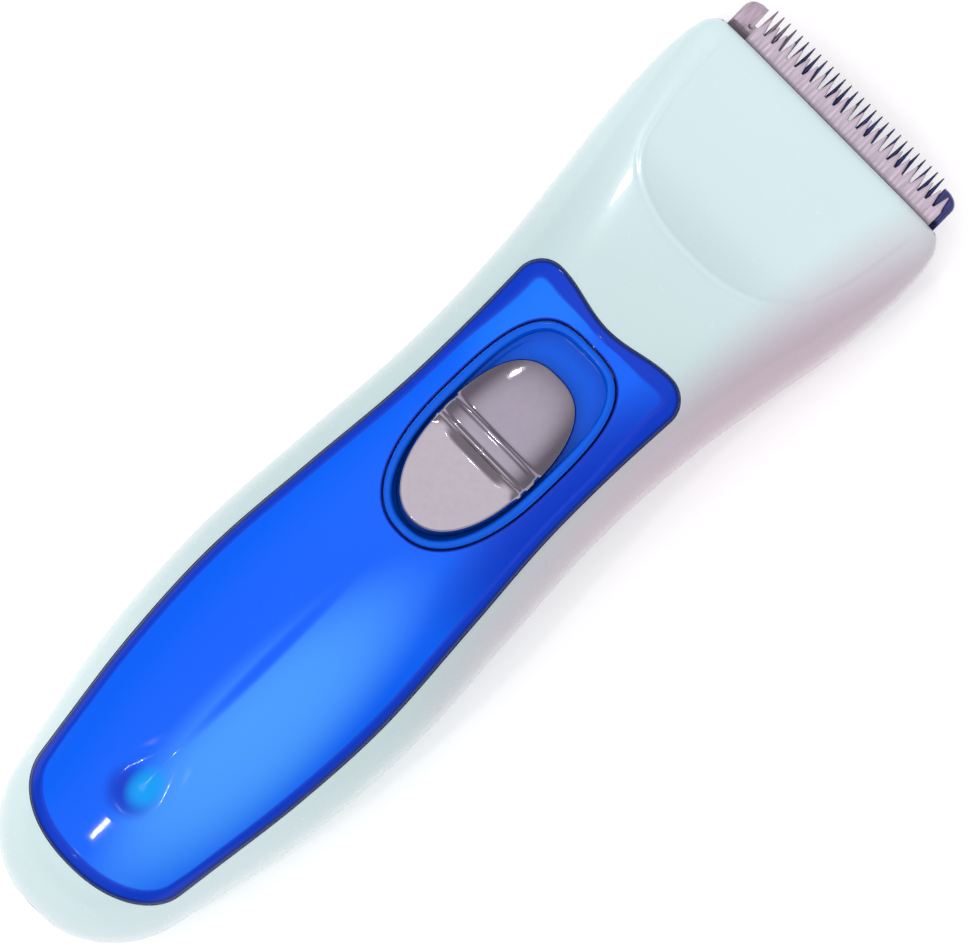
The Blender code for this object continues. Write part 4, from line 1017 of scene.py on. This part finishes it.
def board_finish():
    """Green solder mask with a faint grid of tracks under it."""
    made = Finish("board", 0.4, Coat_Weight=0.4, Coat_Roughness=0.2)
    tracks = made.tree.nodes.new("ShaderNodeTexBrick")
    tracks.inputs["Scale"].default_value = 260.0
    tracks.inputs["Color1"].default_value = rgba((0.012, 0.16, 0.06))
    tracks.inputs["Color2"].default_value = rgba((0.015, 0.20, 0.08))
    tracks.inputs["Mortar"].default_value = rgba((0.03, 0.30, 0.12))
    made.link(made.where, tracks.inputs["Vector"])
    made.colour(tracks.outputs["Color"])
    made.roughness(made.remap(made.noise(800.0), 0.3, 0.7, 0.32, 0.48))
    return made.bump(made.noise(1500.0), 0.08).material


def wound_copper():
    """Enamelled wire, shown as fine bands stacked along Z."""
    made = Finish("copper", 0.3, 1.0)
    bands = made.tree.nodes.new("ShaderNodeTexWave")
    bands.bands_direction = "Z"
    bands.inputs["Scale"].default_value = 900.0
    bands.inputs["Distortion"].default_value = 0.6
    made.link(made.where, bands.inputs["Vector"])
    made.colour(made.mix(bands.outputs["Fac"], (0.55, 0.20, 0.07), (0.80, 0.38, 0.17)))
    made.roughness(made.remap(made.noise(900.0), 0.3, 0.7, 0.22, 0.38))
    return made.bump(bands.outputs["Fac"], 0.3, 0.0001).material


# name: first tone, second tone, roughness, stretch of the grinding marks, bump
METALS = {
    "blade_steel": ((0.45, 0.38, 0.45), (0.39, 0.33, 0.39), 0.46, ALONG, 0.08),
    "fastener_steel": ((0.62, 0.62, 0.64), (0.50, 0.50, 0.53), 0.32, EVEN, 0.15),
    "spring_steel": ((0.55, 0.56, 0.58), (0.45, 0.46, 0.49), 0.25, ACROSS, 0.15),
    "motor_steel": ((0.55, 0.56, 0.58), (0.48, 0.49, 0.51), 0.34, EVEN, 0.05),
    "bronze": ((0.60, 0.40, 0.20), (0.48, 0.30, 0.14), 0.38, EVEN, 0.3),
}
# name: first tone, second tone, roughness, spread of the roughness, bump
PLASTICS = {
    "rubber": ((0.02, 0.02, 0.02), (0.03, 0.03, 0.032), 0.75, 0.1, 0.4),
    "white_plastic": ((0.82, 0.83, 0.82), (0.78, 0.79, 0.77), 0.42, 0.05, 0.08),
    "dark_plastic": ((0.03, 0.03, 0.035), (0.04, 0.04, 0.045), 0.42, 0.05, 0.12),
    "cell_sleeve": ((0.05, 0.35, 0.18), (0.04, 0.30, 0.15), 0.3, 0.05, 0.05),
    "led_resin": ((0.75, 0.08, 0.05), (0.6, 0.05, 0.03), 0.15, 0.05, 0.05),
    "clear_plastic": ((0.85, 0.90, 0.95), (0.80, 0.88, 0.94), 0.1, 0.05, 0.05),
    "lead_red": ((0.6, 0.02, 0.02), (0.5, 0.02, 0.02), 0.5, 0.05, 0.05),
    "lead_black": ((0.02, 0.02, 0.02), (0.035, 0.035, 0.035), 0.5, 0.05, 0.05),
}
# What some of the plastics have besides: a clear coat, or light that passes through
PLASTIC_EXTRAS = {
    "cell_sleeve": {"Coat_Weight": 0.3},
    "led_resin": {"Transmission_Weight": 0.4},
    "clear_plastic": {"Transmission_Weight": 0.6},
}


def finishes():
    made = {
        "pearl_plastic": pearl_finish(),
        "blue_plastic": panel_finish(),
        "blue_seat": seat_finish(),
        "chrome_plate": chrome_finish(),
        "comb_steel": comb_finish(),
        "copper": wound_copper(),
        "board": board_finish(),
    }
    for name, values in METALS.items():
        made[name] = ground_metal(name, *values)
    for name, values in PLASTICS.items():
        made[name] = moulded(name, *values, **PLASTIC_EXTRAS.get(name, {}))
    return made


# The nodes of each slot, by the start of their names. The first match counts.
SLOT_NODES = {
    "pearl_plastic": ("front_shell", "rear_shell"),
    "blue_plastic": ("blue_panel", "switch_seat"),
    "chrome_plate": ("switch_button",),
    "blade_steel": ("cutter_blade",),
    "comb_steel": ("comb_blade",),
    "spring_steel": ("pressure_spring", "battery_link", "battery_tab"),
    "cell_sleeve": ("battery_cell",),
    "lead_red": ("battery_lead_right", "motor_lead_right"),
    "lead_black": ("battery_lead", "motor_lead"),
    "rubber": ("motor_damper",),
    "copper": ("motor_armature",),
    "bronze": ("motor_bearing",),
    "motor_steel": ("motor_can", "smoothing_capacitor", "slide_switch_body"),
    "white_plastic": ("motor_cradle", "cutter_carrier", "blade_holder"),
    "board": ("circuit_board",),
    "led_resin": ("charge_led",),
    "clear_plastic": ("light_guide",),
    "fastener_steel": ("charging_socket_pin",),
    "dark_plastic": (
        "motor_end_cap",
        "charging_socket",
        "charge_controller",
        "slide_switch_knob",
        "button_stem",
        "drive_crank",
    ),
}
OTHER_NODES_SLOT = "fastener_steel"


def dress(obj, name, made):
    """Gives an object its slot and the finish of that slot. The seat's blue differs from the panel's."""
    slot = next((s for s, starts in SLOT_NODES.items() if name.startswith(starts)), OTHER_NODES_SLOT)
    obj.data.materials.clear()
    obj.data.materials.append(made["blue_seat" if name == "switch_seat" else slot])


def dress_all():
    made = finishes()
    for name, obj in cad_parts.items():
        dress(obj, name, made)
    pieces = (
        (front_shell, "front_shell", "housing"),
        (rear_shell, "rear_shell", "housing"),
        (blue_panel, "blue_panel", "housing"),
        (switch_seat, "switch_seat", "housing"),
        (switch_button, "switch_button", "switch"),
        (cutter_blade, "cutter_blade", "cutter"),
        (comb_blade, "comb_blade", "blade_set"),
    )
    for build, node, body in pieces:
        piece = build()
        dress(piece, node, made)
        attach(piece, body)
        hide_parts(node)


# ---------------------------------------------------------------- floor, lights and camera


def floor():
    data = bpy.data.meshes.new("floor")
    signs = ((-1, -1), (1, -1), (1, 1), (-1, 1))
    corners = [(x * FLOOR_HALF_SIZE, y * FLOOR_HALF_SIZE, FLOOR_Z) for x, y in signs]
    data.from_pydata(corners, [], [(0, 1, 2, 3)])
    obj = bpy.data.objects.new("floor", data)
    bpy.context.scene.collection.objects.link(obj)
    made = Finish("floor", 0.8, Specular_IOR_Level=0.1, Emission_Strength=0.12)
    made.shader.inputs["Emission Color"].default_value = rgba((1.0, 1.0, 1.0))
    made.colour(made.mix(made.noise(6.0), (0.94, 0.94, 0.94), (0.95, 0.95, 0.95)))
    data.materials.append(made.material)


def soft_light(name, aim, direction, distance, size, power):
    """An area light that looks at a point from a direction. Its size is (across, along)."""
    data = bpy.data.lights.new(name, "AREA")
    data.shape = "RECTANGLE"
    data.size, data.size_y = size
    data.energy = power
    obj = bpy.data.objects.new(name, data)
    away = Vector(direction).normalized()
    obj.location = Vector(aim) * MM + away * distance
    obj.rotation_euler = away.to_track_quat("Z", "Y").to_euler()
    bpy.context.scene.collection.objects.link(obj)


def surround():
    """A plain room, dim along the horizon and brighter overhead. It is the broad soft light."""
    world = bpy.data.worlds.new("studio")
    bpy.context.scene.world = world
    world.use_nodes = True
    tree = world.node_tree
    where = tree.nodes.new("ShaderNodeTexCoord")
    height = tree.nodes.new("ShaderNodeVectorMath")
    height.operation = "DOT_PRODUCT"
    height.inputs[1].default_value = Vector(ROOM_LEAN).normalized()
    rise = tree.nodes.new("ShaderNodeMapRange")
    rise.interpolation_type = "SMOOTHSTEP"
    rise.inputs["From Min"].default_value = HORIZON_END
    blend = tree.nodes.new("ShaderNodeMix")
    blend.data_type = "RGBA"
    low, high = [s for s in blend.inputs if s.type == "RGBA"]
    low.default_value, high.default_value = rgba(HORIZON_COLOUR), rgba(OVERHEAD_COLOUR)
    tree.links.new(where.outputs["Generated"], height.inputs[0])
    tree.links.new(height.outputs["Value"], rise.inputs["Value"])
    tree.links.new(rise.outputs["Result"], blend.inputs["Factor"])
    background = tree.nodes["Background"]
    background.inputs["Strength"].default_value = ROOM_BRIGHTNESS
    tree.links.new([s for s in blend.outputs if s.type == "RGBA"][0], background.inputs["Color"])


def lights():
    surround()
    for glint in GLINTS:
        soft_light(*glint)


def camera():
    """The photograph's view: almost straight down, with the blade at the upper right."""
    lean = Vector((*CAMERA_LEAN, 0.0))
    back = Vector((lean.x, lean.y, math.sqrt(1 - lean.length_squared)))
    along = (Vector((0, 1, 0)) - back * back.y).normalized()
    across = along.cross(back)
    right = math.cos(CAMERA_ROLL) * along + math.sin(CAMERA_ROLL) * across
    up = math.sin(CAMERA_ROLL) * along - math.cos(CAMERA_ROLL) * across
    turn = Matrix((right, up, back)).transposed().to_4x4()
    data = bpy.data.cameras.new("camera")
    data.sensor_width = CAMERA_SENSOR
    data.lens = CAMERA_LENS
    data.clip_start, data.clip_end = 0.01, 20.0
    obj = bpy.data.objects.new("camera", data)
    obj.matrix_world = Matrix.Translation(Vector(CAMERA_AIM) * MM + back * CAMERA_DISTANCE) @ turn
    bpy.context.scene.collection.objects.link(obj)
    bpy.context.scene.camera = obj


bpy.context.scene.view_settings.view_transform = "Standard"
dress_all()
floor()
lights()
camera()
